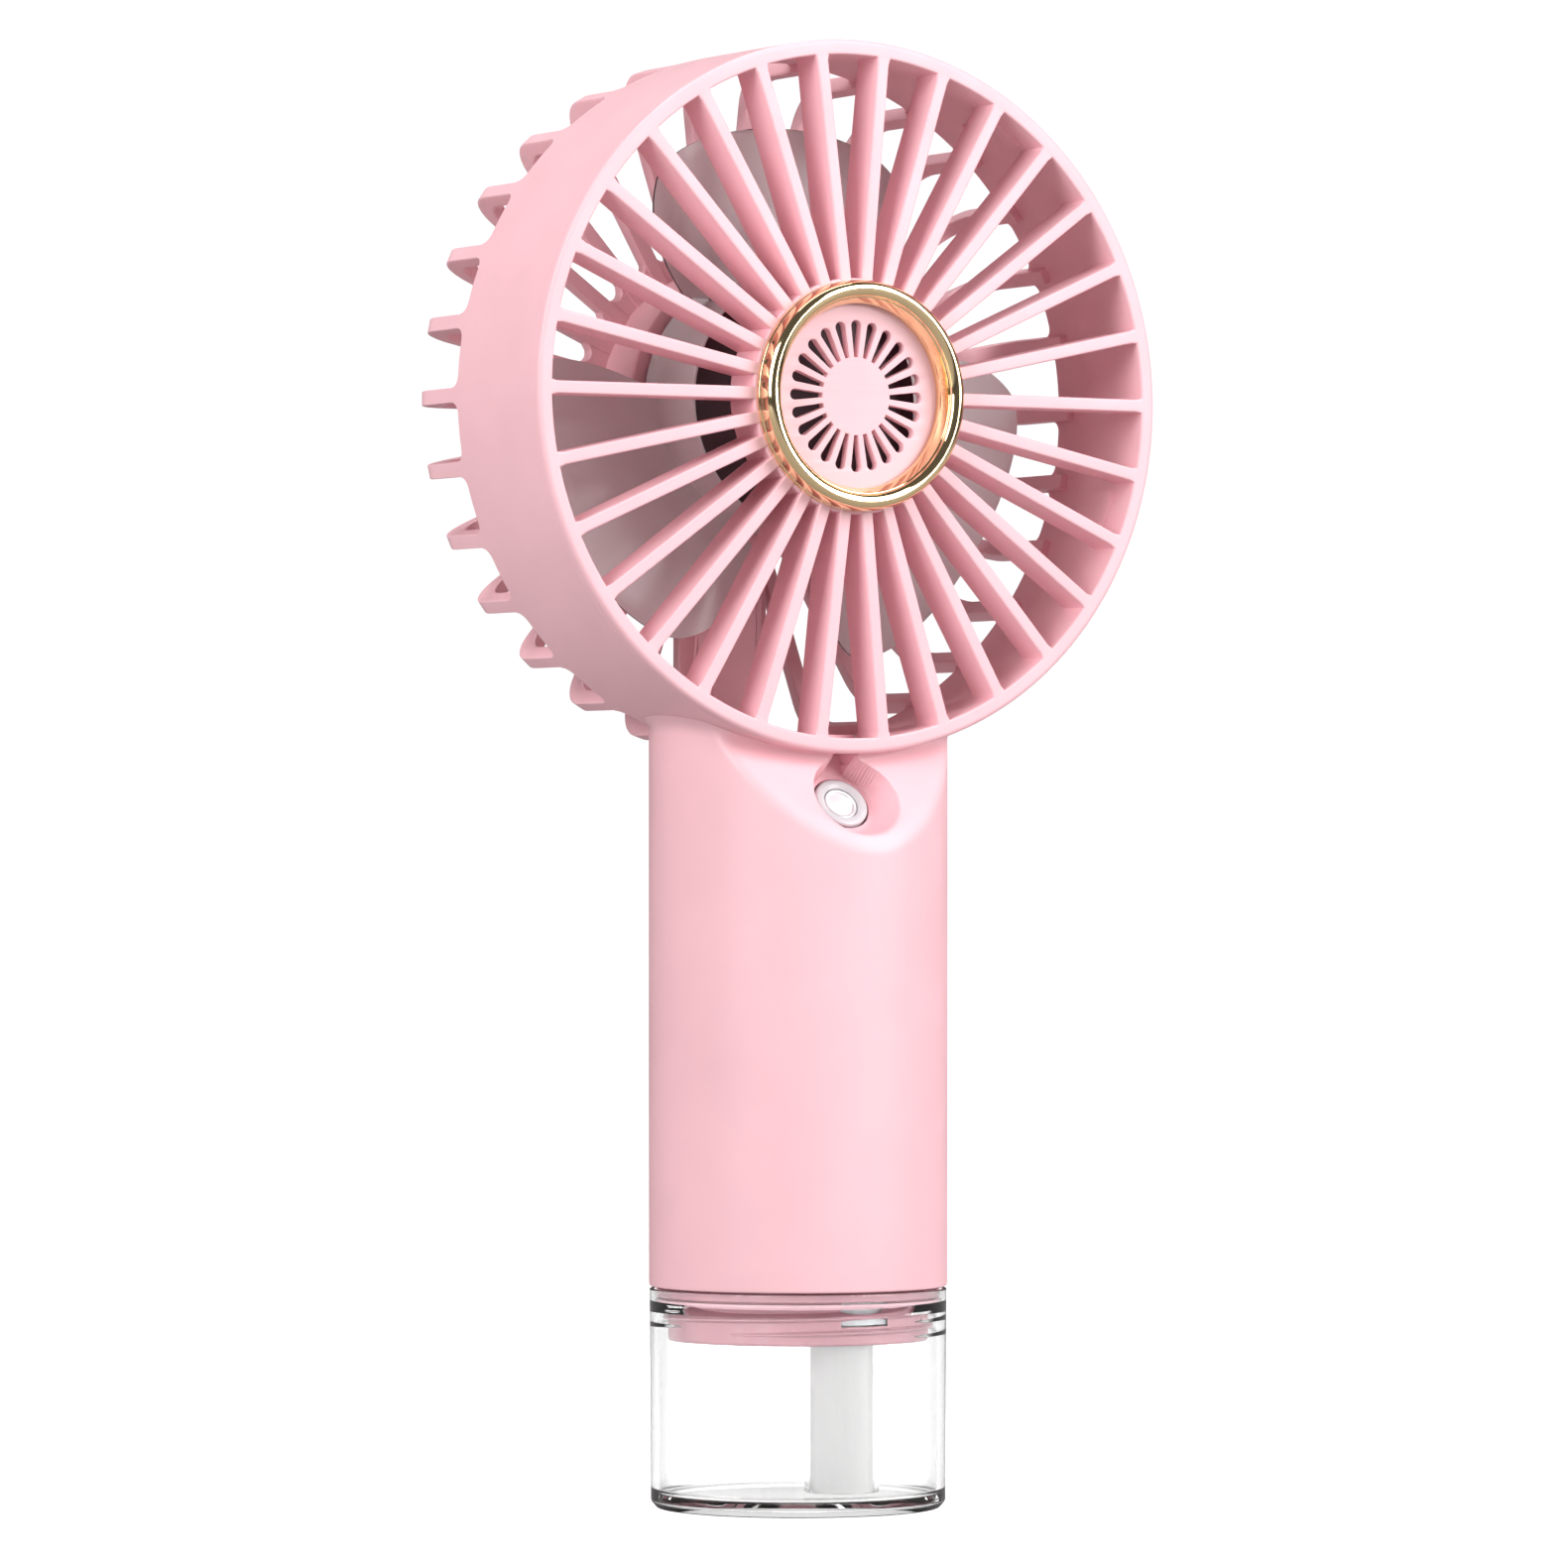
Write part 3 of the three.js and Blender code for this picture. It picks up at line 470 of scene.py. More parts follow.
def metal(name, colour, rough=(0.06, 0.12), brush=(1, 1, 1), grain=0.5, depth=0.001, tarnish=0.05):
    """A metal with uneven polish; brush stretches its grain along one axis."""
    material, nodes, links, shader, place = node_material(name)
    shader.inputs["Metallic"].default_value = 1.0
    cloud = spread(nodes, links, noise(nodes, links, place, 4), 0, 1)
    base = blend_colours(nodes, links, cloud, scaled(colour, 1 - tarnish), colour)
    links.new(base, shader.inputs["Base Color"])
    streaks = noise(nodes, links, place, grain, 4, brush)
    links.new(spread(nodes, links, streaks, rough[0], rough[1]), shader.inputs["Roughness"])
    add_bump(nodes, links, shader, streaks, depth)
    return material


def clear(name, floor_z=None):
    """A clear moulded plastic, with painted shade greying it edge-on and a painted reflection greying it below
    floor_z, with a faint ripple and dull patches.
    """
    colour, painted_grey = (1, 1, 1), (0.4, 0.4, 0.4)
    material, nodes, links, shader, place = node_material(name)
    shader.inputs["Transmission Weight"].default_value = 1.0
    shader.inputs["IOR"].default_value = 1.49
    cloud = spread(nodes, links, noise(nodes, links, place, 10), 0, 1)
    # Painted shade: the colour greys edge-on, standing in for the dark edges that refraction gives clear plastic.
    facing = nodes.new("ShaderNodeLayerWeight")
    facing.inputs["Blend"].default_value = 0.5
    painted_shade_amount = spread(nodes, links, facing.outputs["Facing"], 0, 1, 0.25, 0.7)
    # Painted reflection: below floor_z the colour greys, standing in for the grey tones reflected in the tank's
    # base.
    if floor_z is not None:
        split = nodes.new("ShaderNodeSeparateXYZ")
        links.new(place, split.inputs["Vector"])
        under = spread(nodes, links, split.outputs["Z"], 0.35, 0, (floor_z - 0.4) * MM, floor_z * MM)
        painted_shade_amount = larger(nodes, links, under, painted_shade_amount)
    base = blend_colours(nodes, links, cloud, scaled(colour, 0.975), colour)
    links.new(blend_colours(nodes, links, painted_shade_amount, base, painted_grey), shader.inputs["Base Color"])
    patch = noise(nodes, links, place, 3, 4, (1, 1, 0.4))
    links.new(spread(nodes, links, patch, 0.0, 0.03, 0.4, 0.75), shader.inputs["Roughness"])
    add_bump(nodes, links, shader, noise(nodes, links, place, 6, 1), 0.0015)
    return material


def fibrous(name, colour):
    """Pressed cotton: fibres that run along the piece."""
    material, nodes, links, shader, place = node_material(name)
    fibres = noise(nodes, links, place, 0.25, 5, (1, 1, 0.08))
    links.new(blend_colours(nodes, links, spread(nodes, links, fibres, 0, 1), scaled(colour, 0.93), colour),
              shader.inputs["Base Color"])
    links.new(spread(nodes, links, fibres, 0.8, 0.98), shader.inputs["Roughness"])
    shader.inputs["Sheen Weight"].default_value = 0.3
    add_bump(nodes, links, shader, fibres, 0.06)
    return material


MATERIALS = {
    "pink_shell": moulded("pink_satin", (0.91, 0.535, 0.585), (0.36, 0.46), IOR=1.45),
    # Painted shade: the neck's colour is the shell's pink darkened, for the light it loses behind the clear tank.
    "pink_neck": moulded("neck_pink", (0.53, 0.26, 0.305), (0.3, 0.4)),
    "gold_trim": metal("polished_gold", (1.0, 0.77, 0.44), (0.05, 0.1), (1, 1, 1), 2.0, 0.0005),
    "impeller_white": moulded("impeller_white", (0.66, 0.65, 0.65), (0.18, 0.28), depth=0.002),
    "white_plastic": moulded("white_plastic", (0.62, 0.64, 0.66), (0.25, 0.35)),
    "black_plastic": moulded("black_plastic", (0.02, 0.02, 0.022), (0.45, 0.6), 0.2),
    "clear_plastic": clear("clear_plastic"),
    "nozzle_steel": metal("nozzle_steel", (0.85, 0.88, 0.9), (0.5, 0.62), (1, 1, 1), 0.2, 0.004),
    "motor_steel": metal("plated_steel", (0.6, 0.61, 0.62), (0.22, 0.38), (1, 1, 8), 0.3, 0.003),
    "brass": metal("brass", (0.7, 0.5, 0.22), (0.25, 0.4), (1, 1, 1), 0.4, 0.003, 0.15),
    "copper_winding": metal("copper_winding", (0.72, 0.3, 0.14), (0.2, 0.35), (1, 6, 1), 0.4, 0.04, 0.2),
    "ferrite": moulded("ferrite", (0.045, 0.045, 0.05), (0.5, 0.7), 0.15, 0.2, 0.02),
    "red_wire": moulded("red_wire", (0.55, 0.02, 0.02), (0.35, 0.5)),
    "ceramic": moulded("ceramic", (0.66, 0.6, 0.42), (0.5, 0.65), 0.08, 0.15, 0.01),
    "silicone": moulded("silicone", (0.78, 0.78, 0.76), (0.5, 0.65), 0.02, 0.4, 0.006,
                        Subsurface_Weight=0.2),
    "pink_silicone": moulded("pink_silicone", (0.8, 0.5, 0.56), (0.5, 0.65), 0.02, 0.4, 0.006),
    "wick_cotton": fibrous("wick_cotton", (0.99, 0.99, 0.985)),
    "cell_wrap": moulded("cell_wrap", (0.05, 0.21, 0.44), (0.2, 0.32), 0.05, 1.2, 0.01),
    "board_green": moulded("board_green", (0.01, 0.11, 0.05), (0.28, 0.42), 0.12, 0.6, 0.02),
}
# Materials of single pieces and faces, beside the slots.
# Painted shade: a near-black material for the impeller hub's recessed face, where the head's interior lies in
# shadow.
HUB_FACE_PAINTED_SHADE = moulded("hub_face", (0.075, 0.04, 0.05), (0.5, 0.65), 0.1)
# Painted reflection: the tank's clear plastic greys below floor_z, over its base.
TANK_CLEAR = clear("tank_clear", floor_z=TANK_FLOOR + 0.7)
# Painted shade: a dark grey material for the petals' edges, standing in for the dark outline that light gives the
# translucent blades.
BLADE_EDGE_PAINTED_SHADE = moulded("blade_edge", (0.16, 0.155, 0.16), (0.2, 0.3), depth=0.002)


# ---- fan head: ring wall, ribs, rear plate ----
def wall_angles():
    """Angles round the ring: close together where the wall's rear edge runs up to a rib."""
    half_rib = RIB_W / 2
    offsets = [half_rib + NOTCH_R * (1 - math.cos(math.radians(a))) for a in range(0, 91, 15)]
    pitch = PITCH_ANGLE * HEAD_R
    rest = offsets[-1]
    middle = [rest + (pitch - 2 * rest) * k / 4 for k in (1, 2, 3)]
    places = [0.0] + offsets + middle + [pitch - o for o in offsets[::-1]]
    return [(i * pitch + s) / HEAD_R for i in range(SPOKES) for s in places]


def notch_height(angle):
    """How far the wall's rear edge rises towards the nearest rib."""
    off = abs((angle + PITCH_ANGLE / 2) % PITCH_ANGLE - PITCH_ANGLE / 2) * HEAD_R - RIB_W / 2
    if off >= NOTCH_R:
        return 0.0
    return round_off(NOTCH_R, NOTCH_R - max(off, 0.0))


def ring_wall():
    """The smooth wall round the head, scalloped at the back between the ribs."""
    front = RIM_FRONT + RIM_T + SEAM
    rings = []
    for angle in wall_angles():
        rear = WALL_REAR + notch_height(angle)
        outline = rounded([(HEAD_R - WALL_T, front, 0), (HEAD_R, front, 0.08), (HEAD_R, rear, 0.35),
                           (HEAD_R - WALL_T, rear, 0.35)], 3)
        rings.append([on_head(r, y, angle) for r, y in outline])
    return strip(rings, wrap=True)


def rib(angle):
    """One rib: a bar with rounded edges that runs back from the wall, turns and runs in to the plate."""
    outer_r = HEAD_R - INSET
    turn = (outer_r - RIB_ELBOW_R, CAGE_REAR - RIB_ELBOW_R)
    fillet = (outer_r - RIB_DEPTH - RIB_FILLET, CAGE_REAR - RIB_DEPTH - RIB_FILLET)
    sides = [((outer_r, y), (outer_r - RIB_DEPTH, y)) for y in (WALL_REAR - 4.5, WALL_REAR + 1)]
    sides += zip(arc(turn, RIB_ELBOW_R, 0, 90, 10), arc(fillet, RIB_FILLET, 0, 90, 10))
    sides += [((r, CAGE_REAR), (r, CAGE_REAR - RIB_DEPTH)) for r in (PLATE_R + 6, BOSS_R - 1.6)]
    section = rounded([(-RIB_W / 2, -0.5, 0.2), (RIB_W / 2, -0.5, 0.2), (RIB_W / 2, 0.5, 0.17),
                       (-RIB_W / 2, 0.5, 0.17)], 3)
    outward, side = radial(angle)
    rings = []
    for outer, inner in sides:
        across = outward * (outer[0] - inner[0]) + Vector((0, outer[1] - inner[1], 0))
        middle = outward * ((outer[0] + inner[0]) / 2) + Vector((0, (outer[1] + inner[1]) / 2, HEAD_Z))
        rings.append([middle + side * a + across * b for a, b in section])
    return strip(rings)


def rear_plate():
    """The plate behind the motor, with a round notch between every two ribs."""
    notch = (PITCH_ANGLE * PLATE_R - RIB_W) / 2
    front, rear = CAGE_REAR - PLATE_T, CAGE_REAR - INSET
    groove_outer, groove_inner, groove_floor = 19.6, 18.2, rear - 0.45
    dimple_r, dimple_floor = 6.2, rear - 0.35
    steps = 12
    rings = []
    for i in range(SPOKES * steps):
        angle = i * PITCH_ANGLE / steps
        off = abs(angle % PITCH_ANGLE - PITCH_ANGLE / 2) * PLATE_R
        edge = PLATE_R + round_off(notch, off)
        outline = [(0.0, front), (15.0, front), (edge - 0.3, front), (edge, front + 0.3), (edge, rear - 0.4),
                   (edge - 0.12, rear - 0.12), (edge - 0.4, rear), (groove_outer, rear),
                   (groove_outer - 0.3, groove_floor), (groove_inner + 0.3, groove_floor),
                   (groove_inner, rear), (dimple_r, rear), (dimple_r - 0.3, dimple_floor),
                   (0.0, dimple_floor)]
        rings.append([on_head(r, y, angle) for r, y in outline])
    return strip(rings, wrap=True)


def build_cage():
    """The rear cage: wall, ribs, plate, the motor's boss and sleeve, and the strap behind the wire duct."""
    cage = made("cage", [ring_wall()])
    ribs = [rib(i * PITCH_ANGLE) for i in range(SPOKES)]
    buried = CAGE_REAR - 1  # the boss and the sleeve end inside the plate
    boss = rounded([(BOSS_R - BOSS_T, BOSS_FRONT, 0.3), (BOSS_R, BOSS_FRONT, 0.4), (BOSS_R, buried, 0),
                    (BOSS_R - BOSS_T, buried, 0)])
    lip = rounded([(BOSS_LIP_R, BOSS_FRONT, 0.3), (BOSS_R, BOSS_FRONT, 0.4), (BOSS_R, BOSS_FRONT + BOSS_T, 0),
                   (BOSS_LIP_R, BOSS_FRONT + BOSS_T, 0.3)])
    bore = MOTOR_R + SLEEVE_GAP
    sleeve = rounded([(bore, BOSS_FRONT, 0.2), (bore + BOSS_T, BOSS_FRONT, 0.2), (bore + BOSS_T, buried, 0),
                      (bore, buried, 0)])
    strap = rounded_bar(STRAP_HALF_X, STRAP_HALF_Z, 0.4, CAGE_REAR - 2, CAGE_REAR - 2 * INSET,
                        (0, HEAD_Z - HEAD_R + 1 + STRAP_HALF_Z + 0.4))
    joined = [ribs, [rear_plate()], [head_lathe(boss)], [head_lathe(lip)], [head_lathe(sleeve, 96)], [strap]]
    combine(cage, joined, "UNION")
    wire_way = block((-5, BOSS_FRONT + 3, HEAD_Z - PLATE_R), (5, CAGE_REAR - 2.3, HEAD_Z - MOTOR_R))
    well = [(0, -3.2), (1.35, -3.2), (1.35, -1.1), (2.15, -1.1), (2.45, 0.4), (0, 0.4)]
    wells = [axis_lathe(well, (side * SCREW_X, CAGE_REAR, HEAD_Z), (0, 1, 0), 40) for side in (-1, 1)]
    combine(cage, [[wire_way]] + [[hole] for hole in wells], "DIFFERENCE")
    dress(cage, "handle", "pink_shell", "rear_cage")


# ---- front grille ----
def spoke(angle):
    """One spoke: a deep fin from the hub to the rim, flared where it meets the rim."""
    outward, side = radial(angle)
    hub_front = RIM_FRONT - 1.0
    rear = HUB_BACK - 0.1
    flare_start, flare_end = RIM_INNER_R - 0.9, RIM_INNER_R + 0.5
    rings = []
    for r in (HUB_R - 1.2, HUB_R + 1.2, 22.0, 32.0, 40.0, flare_start, RIM_INNER_R - 0.3, flare_end):
        share = (r - HUB_R) / (RIM_INNER_R - HUB_R)
        front = hub_front + (RIM_FRONT + INSET - hub_front) * min(1.0, share)
        flare = 0.35 * max(0.0, (r - flare_start) / (flare_end - flare_start))
        half = SPOKE_W / 2 + flare
        section = rounded([(-half, front, 0.28), (half, front, 0.28), (half - 0.08, rear, 0.3),
                           (0.08 - half, rear, 0.3)], 3)
        centre = Vector((0, 0, HEAD_Z)) + outward * r
        rings.append([centre + side * a + Vector((0, y, 0)) for a, y in section])
    return strip(rings)


def clip(middle):
    """One snap clip: a short ledge on the inside of the skirt."""
    reach, steps = 3.0 / RIM_INNER_R, 6
    root = RIM_INNER_R + 0.3
    section = [(root, -11.6), (CLIP_R, -11.2), (CLIP_R, -3.2), (root, -2.2)]
    angles = [middle - reach + 2 * reach * k / steps for k in range(steps + 1)]
    return strip([[on_head(r, y, a) for r, y in section] for a in angles])


def build_grille():
    """The front grille: rim and skirt, hub with the vent disc's seat, spokes and clips."""
    skirt = HEAD_R - WALL_T - SEAM
    back = RIM_FRONT + RIM_T
    rim = rounded([(RIM_INNER_R, RIM_FRONT, 0.3), (HEAD_R, RIM_FRONT, 0.75), (HEAD_R, back, 0.08),
                   (skirt, back, 0), (skirt, SKIRT_REAR, 0.2), (RIM_INNER_R, SKIRT_REAR, 0.2)])
    bore, seat_r, ledge = HUB_R - HUB_T, DISC_R + 0.1, HUB_SEAT + 1.8
    hub = rounded([(HUB_R, HUB_BACK, 0.4), (bore, HUB_BACK, 0.3), (bore, ledge + 1.4, 0),
                   (HUB_BORE_R, ledge + 1.4, 0.2), (HUB_BORE_R, ledge, 0), (seat_r, ledge, 0),
                   (seat_r, HUB_SEAT, 0), (HUB_R, HUB_SEAT, 0.35)])
    grille = made("grille", [head_lathe(rim, 240)])
    spokes = [spoke(i * PITCH_ANGLE) for i in range(SPOKES)]
    clips = [clip(-math.pi / 2 + i * TAU / CLIPS) for i in range(CLIPS)]
    combine(grille, [[head_lathe(hub)], spokes, clips], "UNION")
    dress(grille, "handle", "pink_shell", "front_grille")


def build_disc():
    """The hub's vent disc: a fan of slots that widen outwards, with softened edges."""
    inner, outer, inner_half, outer_half = 5.7, 10.5, 0.42, 0.94
    softening, steps = 0.12, 120
    curve = bpy.data.curves.new("vent_disc", "CURVE")
    curve.dimensions = "2D"
    curve.fill_mode = "BOTH"
    curve.extrude = 0.6 * MM
    curve.bevel_depth = softening * MM
    curve.bevel_resolution = 1
    edge = DISC_R - 0.15
    outlines = [[edge * Vector((math.cos(TAU * i / steps), math.sin(TAU * i / steps))) for i in range(steps)]]
    for i in range(SLOTS):
        slot = [(inner, -inner_half)] + arc((outer, 0), outer_half, -90, 90, 10) + [(inner, inner_half)]
        turn = Matrix.Rotation(i * TAU / SLOTS, 2)
        outlines.append([turn @ Vector(p) for p in slot])
    for outline in outlines:
        spline = curve.splines.new("POLY")
        spline.points.add(len(outline) - 1)
        spline.use_cyclic_u = True
        for point, p in zip(spline.points, outline):
            point.co = (p.x * MM, p.y * MM, 0, 1)
    drawn = placed("vent_disc_outline", curve)
    bpy.context.view_layer.update()
    mesh = bpy.data.meshes.new_from_object(drawn.evaluated_get(bpy.context.evaluated_depsgraph_get()))
    bpy.data.objects.remove(drawn)
    middle = (low("hub_vent_disc").y + high("hub_vent_disc").y) / 2
    mesh.transform(Matrix.Translation((0, middle * MM, HEAD_Z * MM)) @ Matrix.Rotation(math.pi / 2, 4, "X"))
    bm = bmesh.new()
    bm.from_mesh(mesh)
    bmesh.ops.remove_doubles(bm, verts=bm.verts, dist=1e-6)
    bmesh.ops.recalc_face_normals(bm, faces=bm.faces)
    bm.to_mesh(mesh)
    bm.free()
    disc = placed("vent_disc", mesh)
    dress(disc, "handle", "pink_shell", "hub_vent_disc")


def build_trim():
    """The gold ring: a stepped side, a full round crown and a sloped inner band."""
    outer = high("gold_trim_ring").x
    front = low("gold_trim_ring").y
    back = HUB_SEAT - 0.02
    inner, groove = outer - 3.45, outer - 0.28
    crown_r, crown_half, steps = outer - 1.27, 1.25, 16
    crown = []
    for k in range(steps + 1):
        turn = math.radians(160 * k / steps)
        height = 1.8 if turn < math.pi / 2 else 0.9
        crown.append((crown_r + crown_half * math.cos(turn), front + height * (1 - math.sin(turn))))
    outline = [(inner, back), (outer - 0.15, back), (outer, back - 0.12), (outer, back - 0.8),
               (groove, back - 0.92), (groove, back - 1.08), (outer - 0.02, back - 1.2)]
    outline += crown
    outline += [(outer - 2.5, front + 0.95), (outer - 2.68, front + 0.98), (inner + 0.15, front + 2.2),
                (inner, front + 2.5)]
    trim = made("gold_trim", [head_lathe(outline, 240)])
    bevel(trim, 0.09, 2, 28)
    dress(trim, "handle", "gold_trim", "gold_trim_ring", sharp=50)


# ---- impeller ----
def petal_at(share):
    """Radius and half-width of a blade at a share of the way from its root to its tip."""
    straight = 0.4
    if share < straight:
        t = share / straight
        narrowing = (PETAL_HALF - BLADE_ROOT_HALF) * (1 - t) ** 2
        return BLADE_ROOT_R + (PETAL_R - BLADE_ROOT_R) * t, PETAL_HALF - narrowing
    turn = (share - straight) / (1 - straight) * (math.pi / 2 - 0.01)
    return PETAL_R + PETAL_TIP * math.sin(turn), PETAL_HALF * math.cos(turn)


def petal(middle):
    """One blade: a thin pitched sheet with a rounded tip and rounded edges."""
    across_steps, along_steps = 22, 44
    thinning = 0.25  # of the sheet's thickness, from root to tip
    edge_power = 14  # the higher, the nearer to the edge the sheet rounds off
    outward, side = radial(middle)
    rings = []
    for i in range(along_steps + 1):
        along, width = petal_at(i / along_steps)
        tip = min(1.0, (1 - i / along_steps) * edge_power + 0.5)
        top, under = [], []
        for k in range(across_steps + 1):
            t = 2 * k / across_steps - 1
            edge = max(0.5, math.sqrt(max(0.0, 1 - abs(t) ** edge_power)))
            half = BLADE_T / 2 * edge * tip * (1.0 - thinning * i / along_steps)
            across = t * width + PETAL_SKEW * (along - PETAL_R)
            y = BLADE_Y + BLADE_SLOPE * across
            here = Vector((0, y, HEAD_Z)) + outward * along + side * across
            top.append(here - Vector((0, half, 0)))
            under.append(here + Vector((0, half, 0)))
        rings.append(top + under[::-1])
    return strip(rings)


def build_impeller():
    """The impeller: a recessed hub cup with three petals, with painted shade on the hub's face and on the petals'
    edges.
    """
    wall, back = CUP_R - CUP_T, CUP_WEB + CUP_T
    shaft_r, boss_r, boss_rear = 1.1, 3, 2.8
    cup = rounded([(0, CUP_WEB, 0), (wall, CUP_WEB, 0.4), (CUP_R - CUP_RIM_T, CUP_FRONT, 0.1),
                   (CUP_R, CUP_FRONT, 0.25), (CUP_R, CUP_REAR, 0.3), (wall, CUP_REAR, 0.3), (wall, back, 0.8),
                   (boss_r, back, 0), (boss_r, boss_rear, 0.1), (shaft_r, boss_rear, 0),
                   (shaft_r, back - 0.2, 0), (0, back - 0.2, 0)], 6)
    fan = made("impeller_visual", [head_lathe(cup)])
    petals = made("petals", [petal(BLADE_FIRST + i * TAU / BLADES) for i in range(BLADES)])
    core = CUP_R - 0.6  # the petals end inside the cup's wall
    inside = [(0, CUP_FRONT - 1), (core, CUP_FRONT - 1), (core, CUP_REAR + 1), (0, CUP_REAR + 1)]
    combine(petals, [[head_lathe(inside, 120)]], "DIFFERENCE")
    boolean(fan, petals, "UNION")
    dress(fan, "impeller", "impeller_white", "impeller", sharp=40)
    # Painted shade: the two dark materials below go on the petals' edges and on the hub's recessed face.
    fan.data.materials.append(BLADE_EDGE_PAINTED_SHADE)
    fan.data.materials.append(HUB_FACE_PAINTED_SHADE)
    turned = 0.75 * math.cos(math.atan(BLADE_SLOPE))  # faces turned further from Y are a petal's edge
    for face in fan.data.polygons:
        out = face.center / MM - Vector((0, 0, HEAD_Z))
        reach = math.hypot(out.x, out.z)
        if reach > CUP_R + 0.3 and abs(face.normal.y) < turned:
            face.material_index = 1
        elif reach < CUP_R - CUP_RIM_T - INSET and out.y < CUP_WEB + 0.5:
            face.material_index = 2


# ---- handle ----
def soft_min(a, b, k):
    """The smaller of two values, blended smoothly where they come within k of each other."""
    near = max(k - abs(a - b), 0.0) / k
    return min(a, b) - near * near * k / 4


def teardrop(angle):
    """Radius of the pocket's outline at an angle from sideways, with its tip uphill."""
    up = max(0.0, math.sin(angle))
    tip = up ** 10
    return POCKET_R + 0.7 * tip - 0.9 * up ** 4 * (1 - tip)


def pocket_height(u, v):
    """Height of the scooped pocket over the nozzle's seat at a place on the chin."""
    if math.hypot(u, v) < POCKET_FLOOR_R:
        return 0.0
    below, above, halvings = 0.0, 1.5, 18
    for _ in range(halvings):
        share = (below + above) / 2
        y = v + POCKET_SLIDE * share
        widening = (teardrop(math.atan2(y, u)) - POCKET_FLOOR_R) * math.sqrt(share)
        radius = POCKET_FLOOR_R + widening
        if math.hypot(u, y) > radius:
            below = share
        else:
            above = share
    return POCKET_DEPTH * (below + above) / 2


def pressed(point, depth):
    """Presses a point of the shell's outside, or of its inside at the given depth, into the pocket."""
    off = point - NOZZLE
    u, v, w = off.x, off.dot(UPHILL), off.dot(NORMAL)
    if abs(u) > 10 or not -13 < v < 12 or point.y > -3:  # well clear of the pocket
        return point
    sunk = soft_min(w, pocket_height(u, v) - depth, POCKET_BLEND)
    return point + NORMAL * (sunk - w)


def saddle_z(x, radius):
    """Height at x of the saddle that a head of this radius rests in."""
    return HEAD_Z - math.sqrt(radius ** 2 - x ** 2)


def shell_radius(angle, z, r):
    """Radius of the shell at an angle and height: the cylinder, cut by the sloped chin."""
    s = -math.sin(angle)
    if s <= 0.05:
        return r
    reach = r - math.tan(math.pi / 2 - CHIN_TILT) * (z - CHIN_Z) + (r - HANDLE_R) * 0.25
    return soft_min(r, max(reach, 4.0) / s, CHIN_BLEND)


def handle_column(angle, depth):
    """Points from the bottom edge to the saddle, on the shell's outside or at a depth inside it."""
    r = HANDLE_R - depth
    saddle_r = SADDLE_R + depth
    top, rounds = 112.0, 6  # a first guess, and how many times it is corrected
    for _ in range(rounds):
        top = saddle_z(shell_radius(angle, top, r) * math.cos(angle), saddle_r)
    heights = [HANDLE_Z + h for h in (0, 0.12, FOOT_EDGE_R, 4, 20, 40, 54)]
    start, rows = HANDLE_Z + 58, 84  # from here up the rows are close together, for the chin
    heights += [start + (top - start) * k / rows for k in range(rows + 1)]
    points = []
    for z in heights:
        radius = shell_radius(angle, z, r)
        if depth == 0:
            radius -= round_off(FOOT_EDGE_R, max(0.0, FOOT_EDGE_R - (z - HANDLE_Z)))
            y = radius * math.sin(angle)
            fillet = SADDLE_FILLET * min(1.0, max(0.0, (WALL_REAR - 0.5 - y) / 4))
            d = top - z
            if d < fillet:
                radius += round_off(fillet, fillet - d)
                z += (saddle_z(radius * math.cos(angle), saddle_r) - top) * (1 - d / fillet) ** 2
        points.append(pressed(Vector((radius * math.cos(angle), radius * math.sin(angle), z)), depth))
    return points


def handle_angles():
    """Angles round the handle, close together at the front."""
    angles = []
    a = 0.0
    while a < 360:
        angles.append(math.radians(a))
        a += 0.5 if abs(a - 270) < 34 else 2.5
    return angles


def saddle_row(edge, radius):
    """Points along the saddle, from a point on its edge in to the handle's axis."""
    steps = 8
    row = [edge * (1 - k / steps) for k in range(1, steps + 1)]
    return [Vector((p.x, p.y, saddle_z(p.x, radius))) for p in row]


def build_handle():
    """The handle's shell: a tube with a saddle for the head, a chin, a pocket and its cut-outs."""
    columns = []
    for angle in handle_angles():
        outer = handle_column(angle, 0)
        inner = handle_column(angle, SHELL_T)
        lid = saddle_row(outer[-1], SADDLE_R)
        lining = saddle_row(inner[-1], SADDLE_R + SHELL_T)
        columns.append(outer + lid + lining[::-1] + inner[::-1])
    handle = made("handle", [strip(columns, wrap=True)])
    hole_r = BEZEL_R + 0.32
    hole = [(0, -6), (hole_r, -6), (hole_r, 0.05), (BEZEL_R + 0.9, 0.7), (0, 0.7)]
    cuts = [[axis_lathe(hole, NOZZLE, NORMAL, 72)]]
    for z, radius in ((POWER_Z, POWER_R + BUTTON_GAP), (MIST_Z, MIST_R + BUTTON_GAP), (LED_Z, 1.12)):
        well = [(0, 17), (radius, 17), (radius, 22.1), (radius + 0.9, 23), (0, 23)]
        cuts.append([axis_lathe(well, (0, 0, z), (0, 1, 0), 64)])
    cuts.append([rounded_bar(4.75, 1.85, 1.8, 17, 24, (0, USB_Z))])
    cuts.append([block((-5, 16.5, 105), (5, 20.5, 120))])  # where the wires leave for the head
    combine(handle, cuts, "DIFFERENCE")
    dress(handle, "handle", "pink_shell", "handle_shell", sharp=40)


